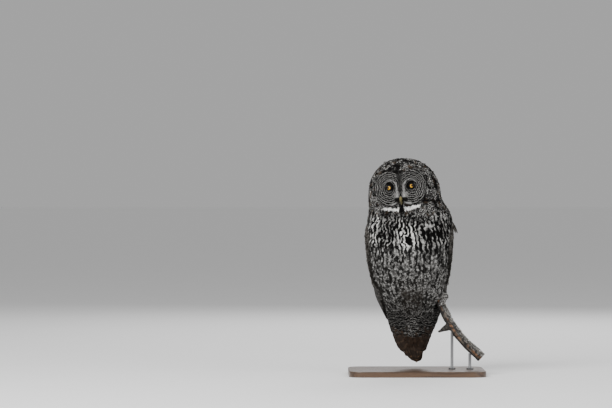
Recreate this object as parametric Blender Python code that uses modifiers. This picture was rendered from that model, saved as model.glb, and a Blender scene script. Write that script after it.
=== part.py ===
"""Great grey owl, life size, upright on a cut branch that a plain display stand holds.

Metres, +Z up. The origin is the middle of the stand's underside. The owl faces -Y, and
+X is its left. One closed form, drawn out from a ball, gives the outline of the plumage
from the crown to the tip of the tail. Thin cuts part it into head, neck, trunk, tail
coverts and tail, and the folded wings are let into its sides.
"""

import math
from typing import NamedTuple

import bmesh
import bpy
from mathutils import Matrix, Vector

# Joints between neighbouring pieces
GAP = 0.0003
FIT = 0.00035

# Display stand
BASE_LENGTH = 0.430
BASE_WIDTH = 0.280
BASE_THICK = 0.018
BASE_CORNER = 0.045
BASE_EDGE = 0.003
ROD_RADIUS = 0.0045
ROD_COLLAR_RADIUS = 0.011
ROD_COLLAR_HEIGHT = 0.006
ROD_FILLET = 0.0015
ROD_COLLAR_CHAMFER = 0.001
ROD_PLACES = (0.112, 0.168)

# Plumage outline: the dome of the crown, the levels below it and the blunt tip of the tail
CROWN_TOP = 0.687
DOME_FOOT = 0.563
DOME_EXPONENT = 2.2
DOME_FRONT_EXPONENT = 2.4
TAIL_TIP = 0.034
TIP_FOOT = 0.046
SIDES = 36
DOME_ROWS = 9
BODY_ROWS = 25
TIP_ROWS = 2
TIP_EXPONENT = 2.0
WIDEST_BEHIND = 0.008
HEAD_TURN = math.radians(-9.0)
TURN_FOOT = 0.490
TURN_SPAN = 0.060
NORMAL_RISE = 0.002
NORMAL_TURN = 0.02


class Level(NamedTuple):
    """One level of the plumage: height, middle, half width, breast side and back."""

    z: float
    middle: float
    half_width: float
    front: float
    back: float
    squareness: float


LEVELS = (
    Level(0.700, -0.0395, 0.1145, -0.080, 0.104, 2.6),
    Level(0.608, -0.0368, 0.1148, -0.082, 0.105, 2.6),
    Level(0.563, -0.0356, 0.1150, -0.082, 0.107, 2.6),
    Level(0.541, -0.0296, 0.1212, -0.079, 0.108, 2.4),
    Level(0.510, -0.0200, 0.1312, -0.090, 0.110, 2.3),
    Level(0.462, -0.0215, 0.1385, -0.106, 0.114, 2.2),
    Level(0.421, -0.0222, 0.1390, -0.113, 0.116, 2.2),
    Level(0.364, -0.0216, 0.1340, -0.114, 0.115, 2.2),
    Level(0.319, -0.0203, 0.1263, -0.107, 0.111, 2.2),
    Level(0.291, -0.0195, 0.1195, -0.098, 0.107, 2.2),
    Level(0.243, -0.0162, 0.1125, -0.072, 0.099, 2.2),
    Level(0.210, -0.0135, 0.0985, -0.034, 0.093, 2.2),
    Level(0.177, -0.0108, 0.0855, -0.003, 0.086, 2.2),
    Level(0.120, -0.0111, 0.0580, 0.026, 0.072, 2.2),
    Level(0.078, -0.0095, 0.0390, 0.040, 0.064, 2.4),
    Level(0.059, -0.0040, 0.0310, 0.045, 0.061, 2.4),
    Level(0.046, 0.0010, 0.0235, 0.048, 0.060, 2.4),
    Level(0.030, 0.0050, 0.0150, 0.049, 0.059, 2.4),
)

# Cuts between the named parts of the body, as heights on the middle line
CUT_HEAD = 0.530
CUT_NECK = 0.488
CUT_COVERTS = 0.2035
CUT_TAIL = 0.1215

# Face: two dished discs, one round each eye, either side of a ridge that ends in the bill
FACE_MIDDLE = Vector((-0.0540, -0.070, 0.5955))
FACE_ROLL = math.radians(-5.2)
EYE_SPACING = 0.071
DISC_SIDE = 0.0475
DISC_UP = 0.0520
DISC_DOWN = 0.0580
DISC_DEPTH = 0.013
DISC_RIM = 0.0030
DISC_RIM_WIDTH = 0.16
RIDGE_HEIGHT = 0.0065
RIDGE_WIDTH = 0.011
RIDGE_TOP = 0.034
RIDGE_FOOT = -0.040
RIDGE_FADE = 0.020
DISH_EXPONENT = 1.7
FACE_BEHIND = 0.045
FACE_FINE_REACH = 1.25
FACE_REACH = 1.5
FACE_FADE_FOOT = 0.001
FACE_FADE_TOP = 0.010
FACE_SEARCHES = 40
FACE_SEARCH_WIDTH = 0.30

# Eyes and bill
EYE_RADIUS = 0.0105
EYE_DEPTH = 0.0045
BALL_SIDES = 14
BALL_RINGS = 8
BILL_ROOT = Vector((0.0, 0.003, -0.0370))
BILL_LENGTH = 0.0220
BILL_HALF_WIDTH = 0.0058
BILL_HALF_HEIGHT = 0.0075
BILL_BEND = math.radians(62.0)
BILL_AIM = math.radians(34.0)
LOWER_BILL_ROOT = Vector((0.0, 0.004, -0.0480))
LOWER_BILL_LENGTH = 0.0120
LOWER_BILL_HALF_WIDTH = 0.0040
LOWER_BILL_HALF_HEIGHT = 0.0025
LOWER_BILL_BEND = math.radians(20.0)
LOWER_BILL_AIM = math.radians(52.0)
HORN_ROOT_FULLNESS = 1.6
HORN_TIP_FULLNESS = 0.8
HORN_TIP_SHARE = 0.06
HORN_RINGS = 5
HORN_SIDES = 10
BILL_FIT = 0.0005

# Folded wings: heights with the angles of the leading and trailing edge round the body,
# from the side (0) towards the breast (-) and the middle of the back (90)
WING_EDGES = (
    (0.478, 2.0, 30.0),
    (0.452, -13.0, 56.0),
    (0.410, -22.0, 80.0),
    (0.360, -25.0, 86.5),
    (0.300, -25.0, 87.0),
    (0.255, -22.0, 83.0),
    (0.215, -14.0, 66.0),
    (0.188, -4.0, 42.0),
    (0.168, 6.0, 22.0),
)
WING_DEPTH = 0.0090
WING_EDGE_DEPTH = 0.0014
WING_LIFT = 0.0010
WING_FIT = 0.0011
WING_ROOM_LIFT = 0.012
WING_ROWS = 15
WING_COLUMNS = 7
WING_CHORD_FULLNESS = 3
WING_SPAN_FULLNESS = 5
RIM_SHARE = 0.001

# Perch: a cut length of branch with a broken spur
BRANCH_POINTS = (
    (0.205, -0.030, 0.056),
    (0.148, -0.025, 0.110),
    (0.125, -0.022, 0.139),
    (0.105, -0.018, 0.170),
    (0.0885, -0.014, 0.202),
    (0.071, -0.010, 0.237),
    (0.042, -0.006, 0.269),
    (0.004, -0.004, 0.288),
    (-0.034, -0.002, 0.296),
)
BRANCH_FOOT_RADIUS = 0.0158
BRANCH_TOP_RADIUS = 0.0125
BRANCH_SWELL = 0.0006
BRANCH_SWELL_PACE = 31.0
BRANCH_STEPS = 17
BRANCH_SEARCH_STEPS = 400
SPUR_ROOT = Vector((0.1060, -0.018, 0.1560))
SPUR_TIP = Vector((0.0680, -0.024, 0.1365))
SPUR_ROOT_RADIUS = 0.0150
SPUR_TIP_RADIUS = 0.0028
SPUR_STEPS = 5

# Hollow under the belly feathers, where the feet grip the branch
POCKET_RADIUS = 0.0290
POCKET_MOUTH_RADIUS = 0.0190
POCKET_FROM = 0.48
POCKET_MOUTH_TO = 0.36
POCKET_END = 1.04
POCKET_STEPS = 16

# Legs and feet, by their place along the branch (0 at its sawn end, 1 at its top)
FOOT_PLACES = {"left": 0.620, "right": 0.840}
HIPS = {"left": Vector((0.022, 0.010, 0.345)), "right": Vector((-0.040, 0.010, 0.362))}
LEG_RADIUS = 0.0125
LEG_ANKLE_RADIUS = 0.0095
LEG_STEPS = 2
FOOT_PAD_RADIUS = 0.0105
FOOT_PAD_LIFT = 0.85
PAD_SIDES = 10
PAD_RINGS = 6
TOE_RADIUS = 0.0058
TOE_TIP_RADIUS = 0.0044
TOE_STEPS = 4
TOE_LIFT = 0.9
CLAW_RADIUS = 0.0026
CLAW_TIP_RADIUS = 0.0005
CLAW_STEPS = 4
CLAW_ROOT_TURN = 6.0
CLAW_CLOSING = 1.5


class Toe(NamedTuple):
    """A toe: start and end angle round the branch, its spread along it, and its claw's end."""

    start: float
    end: float
    spread_start: float
    spread_end: float
    claw_end: float


TOES = (
    Toe(12.0, 104.0, 0.004, 0.013, 158.0),
    Toe(12.0, 108.0, -0.004, -0.012, 162.0),
    Toe(-12.0, -86.0, 0.004, 0.015, -138.0),
    Toe(-12.0, -90.0, -0.004, -0.014, -142.0),
)

# Finishes: colour, roughness, metallic
FINISHES = {
    "plumage": ((0.20, 0.195, 0.185), 0.85, 0.0),
    "face": ((0.26, 0.25, 0.24), 0.85, 0.0),
    "dark_plumage": ((0.075, 0.066, 0.058), 0.85, 0.0),
    "horn": ((0.42, 0.36, 0.12), 0.40, 0.0),
    "claw": ((0.018, 0.017, 0.018), 0.30, 0.0),
    "eye": ((0.80, 0.50, 0.06), 0.08, 0.0),
    "bark": ((0.13, 0.105, 0.085), 0.90, 0.0),
    "wood": ((0.10, 0.062, 0.038), 0.38, 0.0),
    "steel": ((0.42, 0.42, 0.43), 0.32, 1.0),
}


def clear_scene():
    """Remove every object that the file holds."""
    for item in list(bpy.data.objects):
        bpy.data.objects.remove(item, do_unlink=True)


def collection(name):
    """Make a collection in the scene."""
    group = bpy.data.collections.new(name)
    bpy.context.scene.collection.children.link(group)
    return group


def finish(obj, name):
    """Give an object its own Principled material."""
    colour, roughness, metallic = FINISHES[name]
    material = bpy.data.materials.new(obj.name + "_finish")
    material.use_nodes = True
    shader = material.node_tree.nodes["Principled BSDF"]
    shader.inputs["Base Color"].default_value = (*colour, 1.0)
    shader.inputs["Roughness"].default_value = roughness
    shader.inputs["Metallic"].default_value = metallic
    obj.data.materials.clear()
    obj.data.materials.append(material)


def add_object(name, bm, group, smooth=True, sharp=50.0):
    """Turn a bmesh into a named object of a collection."""
    bmesh.ops.recalc_face_normals(bm, faces=bm.faces)
    mesh = bpy.data.meshes.new(name)
    bm.to_mesh(mesh)
    bm.free()
    if smooth:
        mesh.shade_smooth()
        mesh.set_sharp_from_angle(angle=math.radians(sharp))
    obj = bpy.data.objects.new(name, mesh)
    group.objects.link(obj)
    return obj


def as_cutter(obj):
    """Mark an object as a guide that is no part of the model."""
    obj.hide_render = True
    obj.display_type = "WIRE"
    return obj


def combine(obj, cutter, operation):
    """Cut, join or trim an object with a cutter."""
    modifier = obj.modifiers.new(operation.lower() + "_" + cutter.name, "BOOLEAN")
    modifier.operation = operation
    modifier.solver = "EXACT"
    modifier.object = cutter


def baked(obj, name, group):
    """Copy an object with its modifiers applied."""
    graph = bpy.context.evaluated_depsgraph_get()
    graph.update()
    mesh = bpy.data.meshes.new_from_object(obj.evaluated_get(graph))
    mesh.name = name
    copy = bpy.data.objects.new(name, mesh)
    copy.matrix_world = obj.matrix_world
    group.objects.link(copy)
    return copy


def fattened(obj, name, group, margin=FIT):
    """Copy an object with its faces moved out by a margin, as a cutter."""
    copy = as_cutter(baked(obj, name, group))
    bm = bmesh.new()
    bm.from_mesh(copy.data)
    bmesh.ops.remove_doubles(bm, verts=bm.verts, dist=1e-6)
    bmesh.ops.recalc_face_normals(bm, faces=bm.faces)
    bm.normal_update()
    moves = [(vert, vert.normal * margin * vert.calc_shell_factor()) for vert in bm.verts]
    for vert, move in moves:
        vert.co += move
    bm.to_mesh(copy.data)
    bm.free()
    return copy


def between(low, high, share):
    """Mix two values."""
    return low + (high - low) * share


def smooth_step(value):
    """Ease a share from 0 to 1."""
    share = min(max(value, 0.0), 1.0)
    return share * share * (3.0 - 2.0 * share)


def read_curve(rows, z):
    """Read the values of a row at a height, from a smooth curve through rows that go down."""
    index = 0
    while index < len(rows) - 2 and z < rows[index + 1][0]:
        index += 1
    above = rows[max(index - 1, 0)]
    here = rows[index]
    below = rows[index + 1]
    under = rows[min(index + 2, len(rows) - 1)]
    span = below[0] - here[0]
    t = (z - here[0]) / span
    values = []
    for field in range(1, len(here)):
        slope_here = (below[field] - above[field]) / (below[0] - above[0]) * span
        slope_below = (under[field] - here[field]) / (under[0] - here[0]) * span
        values.append(
            here[field] * (2 * t**3 - 3 * t**2 + 1)
            + slope_here * (t**3 - 2 * t**2 + t)
            + below[field] * (3 * t**2 - 2 * t**3)
            + slope_below * (t**3 - t**2)
        )
    return values


def level_at(z):
    """Read the plumage's level at a height."""
    return Level(z, *read_curve(LEVELS, z))


def cap_scale(z, foot, tip, exponent):
    """Shrink towards the tip of a dome that stands on a level."""
    share = min(max((z - foot) / (tip - foot), 0.0), 1.0)
    return (1.0 - share**exponent) ** (1.0 / exponent)


def widest_depth(level):
    """Find how far back a level is widest."""
    return (level.front + level.back) / 2.0 + WIDEST_BEHIND


def outline_point(z, angle):
    """Place a point on the plumage at a height and an angle round the body."""
    level = level_at(z)
    width_scale = 1.0
    front_scale = 1.0
    if z > DOME_FOOT:
        width_scale = cap_scale(z, DOME_FOOT, CROWN_TOP, DOME_EXPONENT)
        front_scale = cap_scale(z, DOME_FOOT, CROWN_TOP, DOME_FRONT_EXPONENT)
    if z < TIP_FOOT:
        width_scale = cap_scale(z, TIP_FOOT, TAIL_TIP, TIP_EXPONENT)
        front_scale = width_scale
    power = 2.0 / level.squareness
    side = math.copysign(abs(math.cos(angle)) ** power, math.cos(angle))
    depth = math.copysign(abs(math.sin(angle)) ** power, math.sin(angle))
    widest = widest_depth(level)
    if depth < 0.0:
        y = widest + depth * (widest - level.front) * front_scale
    else:
        y = widest + depth * (level.back - widest) * width_scale
    x = side * level.half_width * width_scale
    turn = HEAD_TURN * smooth_step((z - TURN_FOOT) / TURN_SPAN)
    offset = y - widest
    turned_x = x * math.cos(turn) - offset * math.sin(turn)
    turned_y = x * math.sin(turn) + offset * math.cos(turn)
    return Vector((level.middle + turned_x, widest + turned_y, z))


def outline_normal(z, angle):
    """Work out the outward direction of the plumage at a point."""
    up = outline_point(z + NORMAL_RISE, angle) - outline_point(z - NORMAL_RISE, angle)
    round_body = outline_point(z, angle + NORMAL_TURN) - outline_point(z, angle - NORMAL_TURN)
    return round_body.cross(up).normalized()


def row_heights():
    """List the heights of the form's rows, from the crown down to the tip of the tail."""
    heights = [CROWN_TOP]
    for row in range(1, DOME_ROWS):
        heights.append(DOME_FOOT + (CROWN_TOP - DOME_FOOT) * math.cos(math.pi / 2 * row / DOME_ROWS))
    for row in range(BODY_ROWS + 1):
        heights.append(between(DOME_FOOT, TIP_FOOT, row / BODY_ROWS))
    for row in range(1, TIP_ROWS):
        heights.append(TIP_FOOT - (TIP_FOOT - TAIL_TIP) * math.sin(math.pi / 2 * row / TIP_ROWS))
    heights.append(TAIL_TIP)
    return heights


def plumage_form():
    """Draw a ball out to the outline of the whole owl."""
    heights = row_heights()
    rows = len(heights) - 1
    bm = bmesh.new()
    bmesh.ops.create_uvsphere(bm, u_segments=SIDES, v_segments=rows, radius=1.0)
    for vert in bm.verts:
        row = round(math.acos(max(-1.0, min(1.0, vert.co.z))) / math.pi * rows)
        angle = math.atan2(vert.co.y, vert.co.x)
        if row in (0, rows):
            level = level_at(heights[row])
            vert.co = Vector((level.middle, widest_depth(level), heights[row]))
        else:
            vert.co = outline_point(heights[row], angle)
    return bm


def cut_away(bm, point, direction):
    """Cut a solid at a plane, drop the side that the direction points to, and close it."""
    geometry = bm.verts[:] + bm.edges[:] + bm.faces[:]
    result = bmesh.ops.bisect_plane(
        bm, geom=geometry, dist=1e-7, plane_co=point, plane_no=direction, clear_outer=True
    )
    rim = [item for item in result["geom_cut"] if isinstance(item, bmesh.types.BMEdge)]
    bmesh.ops.holes_fill(bm, edges=rim)


def part_between(upper, lower):
    """Take the part of the plumage between an upper and a lower cut."""
    bm = plumage_form()
    if upper is not None:
        point, direction = upper
        cut_away(bm, point - direction * GAP / 2.0, direction)
    if lower is not None:
        point, direction = lower
        cut_away(bm, point + direction * GAP / 2.0, -direction)
    return bm


def cut_plane(height, roll=0.0):
    """Give a cut through the body's middle line at a height."""
    point = Vector((level_at(height).middle, 0.0, height))
    return point, Matrix.Rotation(roll, 3, "Y") @ Vector((0.0, 0.0, 1.0))


def face_frame():
    """Give the turn of the face: x to the owl's left, y into the head, z up."""
    return Matrix.Rotation(HEAD_TURN, 3, "Z") @ Matrix.Rotation(FACE_ROLL, 3, "Y")


def disc_reach(across, up):
    """Measure how far out on its facial disc a point lies: 0 at the eye, 1 at the rim."""
    side = (abs(across) - EYE_SPACING / 2.0) / DISC_SIDE
    rise = up / (DISC_UP if up > 0.0 else DISC_DOWN)
    return math.hypot(side, rise)


def face_relief(across, up):
    """Work out how far the face lies behind the plain outline at a point."""
    reach = disc_reach(across, up)
    relief = -DISC_RIM * math.exp(-(((reach - 1.0) / DISC_RIM_WIDTH) ** 2))
    if reach < 1.0:
        relief += DISC_DEPTH * (1.0 - reach**DISH_EXPONENT)
    window = smooth_step((RIDGE_TOP - up) / RIDGE_FADE) * smooth_step((up - RIDGE_FOOT) / RIDGE_FADE)
    return relief - RIDGE_HEIGHT * math.exp(-((across / RIDGE_WIDTH) ** 2)) * window


def shape_face(bm):
    """Dish the facial discs into the front of the head."""
    frame = face_frame()
    inverse = frame.transposed()
    near = []
    for face in bm.faces:
        place = inverse @ (face.calc_center_median() - FACE_MIDDLE)
        if place.y < FACE_BEHIND and disc_reach(place.x, place.z) < FACE_FINE_REACH:
            near.append(face)
    edges = list({edge for face in near for edge in face.edges})
    bmesh.ops.subdivide_edges(bm, edges=edges, cuts=1, use_grid_fill=True, smooth=0.4)
    for vert in bm.verts:
        place = inverse @ (vert.co - FACE_MIDDLE)
        if place.y < FACE_BEHIND and disc_reach(place.x, place.z) < FACE_REACH:
            fade = smooth_step((vert.co.z - CUT_HEAD - FACE_FADE_FOOT) / FACE_FADE_TOP)
            vert.co += frame @ Vector((0.0, face_relief(place.x, place.z) * fade, 0.0))


def eye_centre(side):
    """Place the middle of an eyeball, side +1 for the owl's left."""
    frame = face_frame()
    front = face_depth(side * EYE_SPACING / 2.0, 0.0)
    return FACE_MIDDLE + frame @ Vector((side * EYE_SPACING / 2.0, front + EYE_DEPTH, 0.0))


def face_depth(across, up):
    """Find how far the face lies in front of or behind the face's middle point."""
    inverse = face_frame().transposed()
    z = FACE_MIDDLE.z + up
    angle = math.radians(-90.0)
    for _ in range(FACE_SEARCHES):
        place = inverse @ (outline_point(z, angle) - FACE_MIDDLE)
        angle += (across - place.x) / FACE_SEARCH_WIDTH
        z += up - place.z
    return place.y + face_relief(across, up)


def ball(name, centre, radius, group, turn, segments=BALL_SIDES, rings=BALL_RINGS):
    """Make a ball."""
    bm = bmesh.new()
    bmesh.ops.create_uvsphere(bm, u_segments=segments, v_segments=rings, radius=radius)
    bmesh.ops.rotate(bm, cent=(0.0, 0.0, 0.0), matrix=turn, verts=bm.verts)
    bmesh.ops.translate(bm, vec=centre, verts=bm.verts)
    return add_object(name, bm, group)


def curved_horn(length, half_width, half_height, bend):
    """Bend a tapered cone downwards, from a root at the origin that faces -Y."""
    bm = bmesh.new()
    bmesh.ops.create_cone(
        bm, cap_ends=True, segments=HORN_SIDES, radius1=1.0, radius2=1.0, depth=1.0,
        matrix=Matrix.Translation((0.0, 0.0, 0.5)),
    )
    long_edges = [edge for edge in bm.edges if abs(edge.verts[0].co.z - edge.verts[1].co.z) > 0.5]
    bmesh.ops.subdivide_edges(bm, edges=long_edges, cuts=HORN_RINGS)
    for vert in bm.verts:
        share = vert.co.z
        fullness = max(1.0 - share**HORN_ROOT_FULLNESS, 0.0) ** HORN_TIP_FULLNESS
        slim = between(HORN_TIP_SHARE, 1.0, fullness)
        turned = bend * share
        radius = length / bend
        along = -radius * math.sin(turned)
        drop = -radius * (1.0 - math.cos(turned))
        height = vert.co.y * half_height * slim
        vert.co = Vector((
            vert.co.x * half_width * slim,
            along - height * math.sin(turned),
            drop + height * math.cos(turned),
        ))
    return bm


def bill(name, root, aim, shape, group):
    """Set a part of the bill on the face."""
    bm = curved_horn(*shape)
    turn = face_frame() @ Matrix.Rotation(aim, 3, "X")
    bmesh.ops.rotate(bm, cent=(0.0, 0.0, 0.0), matrix=turn, verts=bm.verts)
    place = FACE_MIDDLE + face_frame() @ (root + Vector((0.0, face_depth(0.0, root.z), 0.0)))
    bmesh.ops.translate(bm, vec=place, verts=bm.verts)
    obj = add_object(name, bm, group)
    finish(obj, "horn")
    return obj


def wing_sheet_point(side, along, across, margin):
    """Give a wing point's height and angle from its shares; a margin moves the rim out."""
    top = WING_EDGES[0][0]
    bottom = WING_EDGES[-1][0]
    z = between(top, bottom, along)
    lead, trail = read_curve(WING_EDGES, z)
    angle = between(lead, trail, across)
    rim_turn = math.degrees(margin / level_at(z).half_width)
    if across < RIM_SHARE:
        angle -= rim_turn
    if across > 1.0 - RIM_SHARE:
        angle += rim_turn
    if along < RIM_SHARE:
        z += margin
    if along > 1.0 - RIM_SHARE:
        z -= margin
    angle = math.radians(angle)
    if side < 0:
        angle = math.pi - angle
    return z, angle


def wing_blade(side, margin, lift):
    """Build a folded wing as a blade let into the plumage."""
    bm = bmesh.new()
    bmesh.ops.create_grid(bm, x_segments=WING_COLUMNS, y_segments=WING_ROWS, size=0.5)
    shares = {}
    for vert in bm.verts:
        shares[vert] = (vert.co.x + 0.5, 0.5 - vert.co.y)
    inner = set(bm.verts)
    extruded = bmesh.ops.extrude_face_region(bm, geom=bm.faces[:], use_keep_orig=True)
    outer = [item for item in extruded["geom"] if isinstance(item, bmesh.types.BMVert)]
    for vert in outer:
        shares[vert] = (vert.co.x + 0.5, 0.5 - vert.co.y)
    for vert, (across, along) in shares.items():
        z, angle = wing_sheet_point(side, along, across, margin)
        bulge = 1.0 - abs(2.0 * across - 1.0) ** WING_CHORD_FULLNESS
        bulge *= 1.0 - abs(2.0 * along - 1.0) ** WING_SPAN_FULLNESS
        depth = -(WING_EDGE_DEPTH + margin + (WING_DEPTH - WING_EDGE_DEPTH) * bulge)
        vert.co = outline_point(z, angle) + outline_normal(z, angle) * (depth if vert in inner else lift)
    bmesh.ops.triangulate(bm, faces=bm.faces[:], quad_method="FIXED")
    return bm


def branch_line(share):
    """Read the branch's middle line from a smooth curve through its points."""
    points = [Vector(point) for point in BRANCH_POINTS]
    if share > 1.0:
        return points[-1] + (points[-1] - points[-2]) * (share - 1.0) * (len(points) - 1)
    place = min(max(share, 0.0), 1.0) * (len(points) - 1)
    index = min(int(place), len(points) - 2)
    t = place - index
    before = points[index - 1] if index > 0 else points[0] * 2.0 - points[1]
    after = points[index + 2] if index + 2 < len(points) else points[-1] * 2.0 - points[-2]
    here = points[index]
    there = points[index + 1]
    return 0.5 * (
        here * 2.0
        + (there - before) * t
        + (before * 2.0 - here * 5.0 + there * 4.0 - after) * t**2
        + (here * 3.0 - before - there * 3.0 + after) * t**3
    )


def branch_radius(share):
    """Read the branch's radius, which swells a little at its old knots."""
    plain = between(BRANCH_FOOT_RADIUS, BRANCH_TOP_RADIUS, share)
    return plain + BRANCH_SWELL * math.sin(share * BRANCH_SWELL_PACE)


def tube(name, points, radii, group, resolution=2):
    """Make a capped tube through points, as a closed mesh."""
    curve = bpy.data.curves.new(name, "CURVE")
    curve.dimensions = "3D"
    curve.bevel_depth = 1.0
    curve.bevel_resolution = resolution
    curve.use_fill_caps = True
    spline = curve.splines.new("POLY")
    spline.points.add(len(points) - 1)
    for knot, point, radius in zip(spline.points, points, radii):
        knot.co = (*point, 1.0)
        knot.radius = radius
    guide = bpy.data.objects.new(name + "_line", curve)
    group.objects.link(guide)
    graph = bpy.context.evaluated_depsgraph_get()
    graph.update()
    mesh = bpy.data.meshes.new_from_object(guide.evaluated_get(graph))
    bm = bmesh.new()
    bm.from_mesh(mesh)
    bmesh.ops.remove_doubles(bm, verts=bm.verts, dist=1e-6)
    bpy.data.objects.remove(guide, do_unlink=True)
    bpy.data.meshes.remove(mesh)
    return add_object(name, bm, group)


def branch_tube(name, start, end, steps, radius_at, group, resolution=2):
    """Make a tube along a stretch of the branch."""
    shares = [between(start, end, step / steps) for step in range(steps + 1)]
    points = [branch_line(share) for share in shares]
    return tube(name, points, [radius_at(share) for share in shares], group, resolution)


def pocket_radius(share):
    """Widen the hollow from its mouth, where the branch leaves it, to its inside."""
    ease = smooth_step((share - POCKET_MOUTH_TO) / (POCKET_FROM - POCKET_MOUTH_TO) - 1.0)
    return between(POCKET_MOUTH_RADIUS, POCKET_RADIUS, ease)


def grip_frame(share):
    """Give the branch's middle, its run, its upper side and its breast side at a place."""
    centre = branch_line(share)
    run = (branch_line(share + 0.01) - branch_line(share - 0.01)).normalized()
    upper = Vector((0.0, 0.0, 1.0))
    upper = (upper - run * upper.dot(run)).normalized()
    breast = run.cross(upper).normalized()
    if breast.y > 0.0:
        breast = -breast
    return centre, run, upper, breast


def round_branch(share, angle, spread, lift):
    """Place a point beside the branch, by its angle from the upper side."""
    centre, run, upper, breast = grip_frame(share)
    turn = math.radians(angle)
    reach = branch_radius(share) + lift
    return centre + run * spread + (upper * math.cos(turn) + breast * math.sin(turn)) * reach


def toe_tube(name, share, toe, extra, group):
    """Lead one toe over the branch and down its side."""
    points = []
    radii = []
    for step in range(TOE_STEPS + 1):
        way = step / TOE_STEPS
        radius = between(TOE_RADIUS, TOE_TIP_RADIUS, way)
        angle = between(toe.start, toe.end, way)
        spread = between(toe.spread_start, toe.spread_end, way)
        points.append(round_branch(share, angle, spread, radius * TOE_LIFT))
        radii.append(radius + extra)
    return tube(name, points, radii, group, resolution=1)


def foot_form(name, share, extra, group, cutters):
    """Join the pad of a foot and its four toes."""
    place = round_branch(share, 0.0, 0.0, FOOT_PAD_RADIUS * FOOT_PAD_LIFT)
    foot = ball(name, place, FOOT_PAD_RADIUS + extra, group, Matrix.Identity(3), PAD_SIDES, PAD_RINGS)
    for number, toe in enumerate(TOES, start=1):
        guide = toe_tube(name + "_toe_" + str(number), share, toe, extra, cutters)
        combine(foot, as_cutter(guide), "UNION")
    return foot


def build_foot(side, branch_cutter, parts, cutters):
    """Build a feathered foot of four toes that grip the branch, with its claws."""
    share = FOOT_PLACES[side]
    foot = foot_form("foot_" + side, share, 0.0, parts, cutters)
    combine(foot, branch_cutter, "DIFFERENCE")
    finish(foot, "plumage")
    room = as_cutter(foot_form("foot_" + side + "_room", share, FIT, cutters, cutters))
    for number, toe in enumerate(TOES, start=1):
        points = []
        radii = []
        for step in range(CLAW_STEPS + 1):
            way = step / CLAW_STEPS
            angle = between(toe.end - math.copysign(CLAW_ROOT_TURN, toe.end), toe.claw_end, way)
            lift = between(TOE_TIP_RADIUS, CLAW_TIP_RADIUS + 2.0 * GAP, way**CLAW_CLOSING)
            points.append(round_branch(share, angle, toe.spread_end, lift))
            radii.append(between(CLAW_RADIUS, CLAW_TIP_RADIUS, way))
        claw = tube("claw_" + side + "_" + str(number), points, radii, parts, resolution=1)
        combine(claw, room, "DIFFERENCE")
        combine(claw, branch_cutter, "DIFFERENCE")
        finish(claw, "claw")
    return room


def build_leg(side, foot_cutter, branch_cutter, parts, cutters):
    """Build a feathered leg from the belly down to its foot."""
    share = FOOT_PLACES[side]
    ankle = round_branch(share, 0.0, 0.0, FOOT_PAD_RADIUS * FOOT_PAD_LIFT)
    hip = HIPS[side]
    shares = [step / LEG_STEPS for step in range(LEG_STEPS + 1)]
    points = [between(ankle, hip, way) for way in shares]
    radii = [between(LEG_ANKLE_RADIUS, LEG_RADIUS, way) for way in shares]
    leg = tube("leg_" + side, points, radii, parts)
    combine(leg, foot_cutter, "DIFFERENCE")
    combine(leg, branch_cutter, "DIFFERENCE")
    finish(leg, "plumage")
    return as_cutter(tube("leg_" + side + "_room", points, [radius + FIT for radius in radii], cutters))


def build_perch(parts, cutters):
    """Build the cut branch with its broken spur."""
    perch = branch_tube("perch_branch", 0.0, 1.0, BRANCH_STEPS, branch_radius, parts, 2)
    shares = [step / SPUR_STEPS for step in range(SPUR_STEPS + 1)]
    points = [between(SPUR_ROOT, SPUR_TIP, way) for way in shares]
    radii = [between(SPUR_ROOT_RADIUS, SPUR_TIP_RADIUS, way) for way in shares]
    spur = as_cutter(tube("spur_guide", points, radii, cutters))
    combine(perch, spur, "UNION")
    finish(perch, "bark")
    return perch


def build_stand(branch_cutter, parts):
    """Build the flat base and the two rods up to the perch."""
    bm = bmesh.new()
    bmesh.ops.create_cube(bm, size=1.0)
    bmesh.ops.scale(bm, vec=(BASE_LENGTH, BASE_WIDTH, BASE_THICK), verts=bm.verts)
    bmesh.ops.translate(bm, vec=(0.0, 0.0, BASE_THICK / 2.0), verts=bm.verts)
    uprights = [edge for edge in bm.edges if abs(edge.verts[0].co.z - edge.verts[1].co.z) > 0.001]
    bmesh.ops.bevel(
        bm, geom=uprights, offset=BASE_CORNER, segments=5, profile=0.5, affect="EDGES", material=-1
    )
    rim = [edge for edge in bm.edges if min(vert.co.z for vert in edge.verts) > BASE_THICK - 1e-5]
    bmesh.ops.bevel(bm, geom=rim, offset=BASE_EDGE, segments=2, profile=0.5, affect="EDGES", material=-1)
    base = add_object("stand_base", bm, parts, sharp=30.0)
    finish(base, "wood")
    for number, place in enumerate(ROD_PLACES, start=1):
        middle = branch_above(place)
        profile = (
            (ROD_RADIUS, middle.z - BASE_THICK),
            (ROD_RADIUS, ROD_COLLAR_HEIGHT + ROD_FILLET),
            (ROD_RADIUS + ROD_FILLET, ROD_COLLAR_HEIGHT),
            (ROD_COLLAR_RADIUS - ROD_COLLAR_CHAMFER, ROD_COLLAR_HEIGHT),
            (ROD_COLLAR_RADIUS, ROD_COLLAR_HEIGHT - ROD_COLLAR_CHAMFER),
            (ROD_COLLAR_RADIUS, GAP),
        )
        rod = turned("stand_rod_" + str(number), profile, parts)
        rod.location = (place, middle.y, BASE_THICK)
        combine(rod, branch_cutter, "DIFFERENCE")
        finish(rod, "steel")


def branch_above(x):
    """Find where the branch's middle line passes over a place on the base."""
    places = [branch_line(step / BRANCH_SEARCH_STEPS) for step in range(BRANCH_SEARCH_STEPS // 2)]
    return min(places, key=lambda place: abs(place.x - x))


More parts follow.
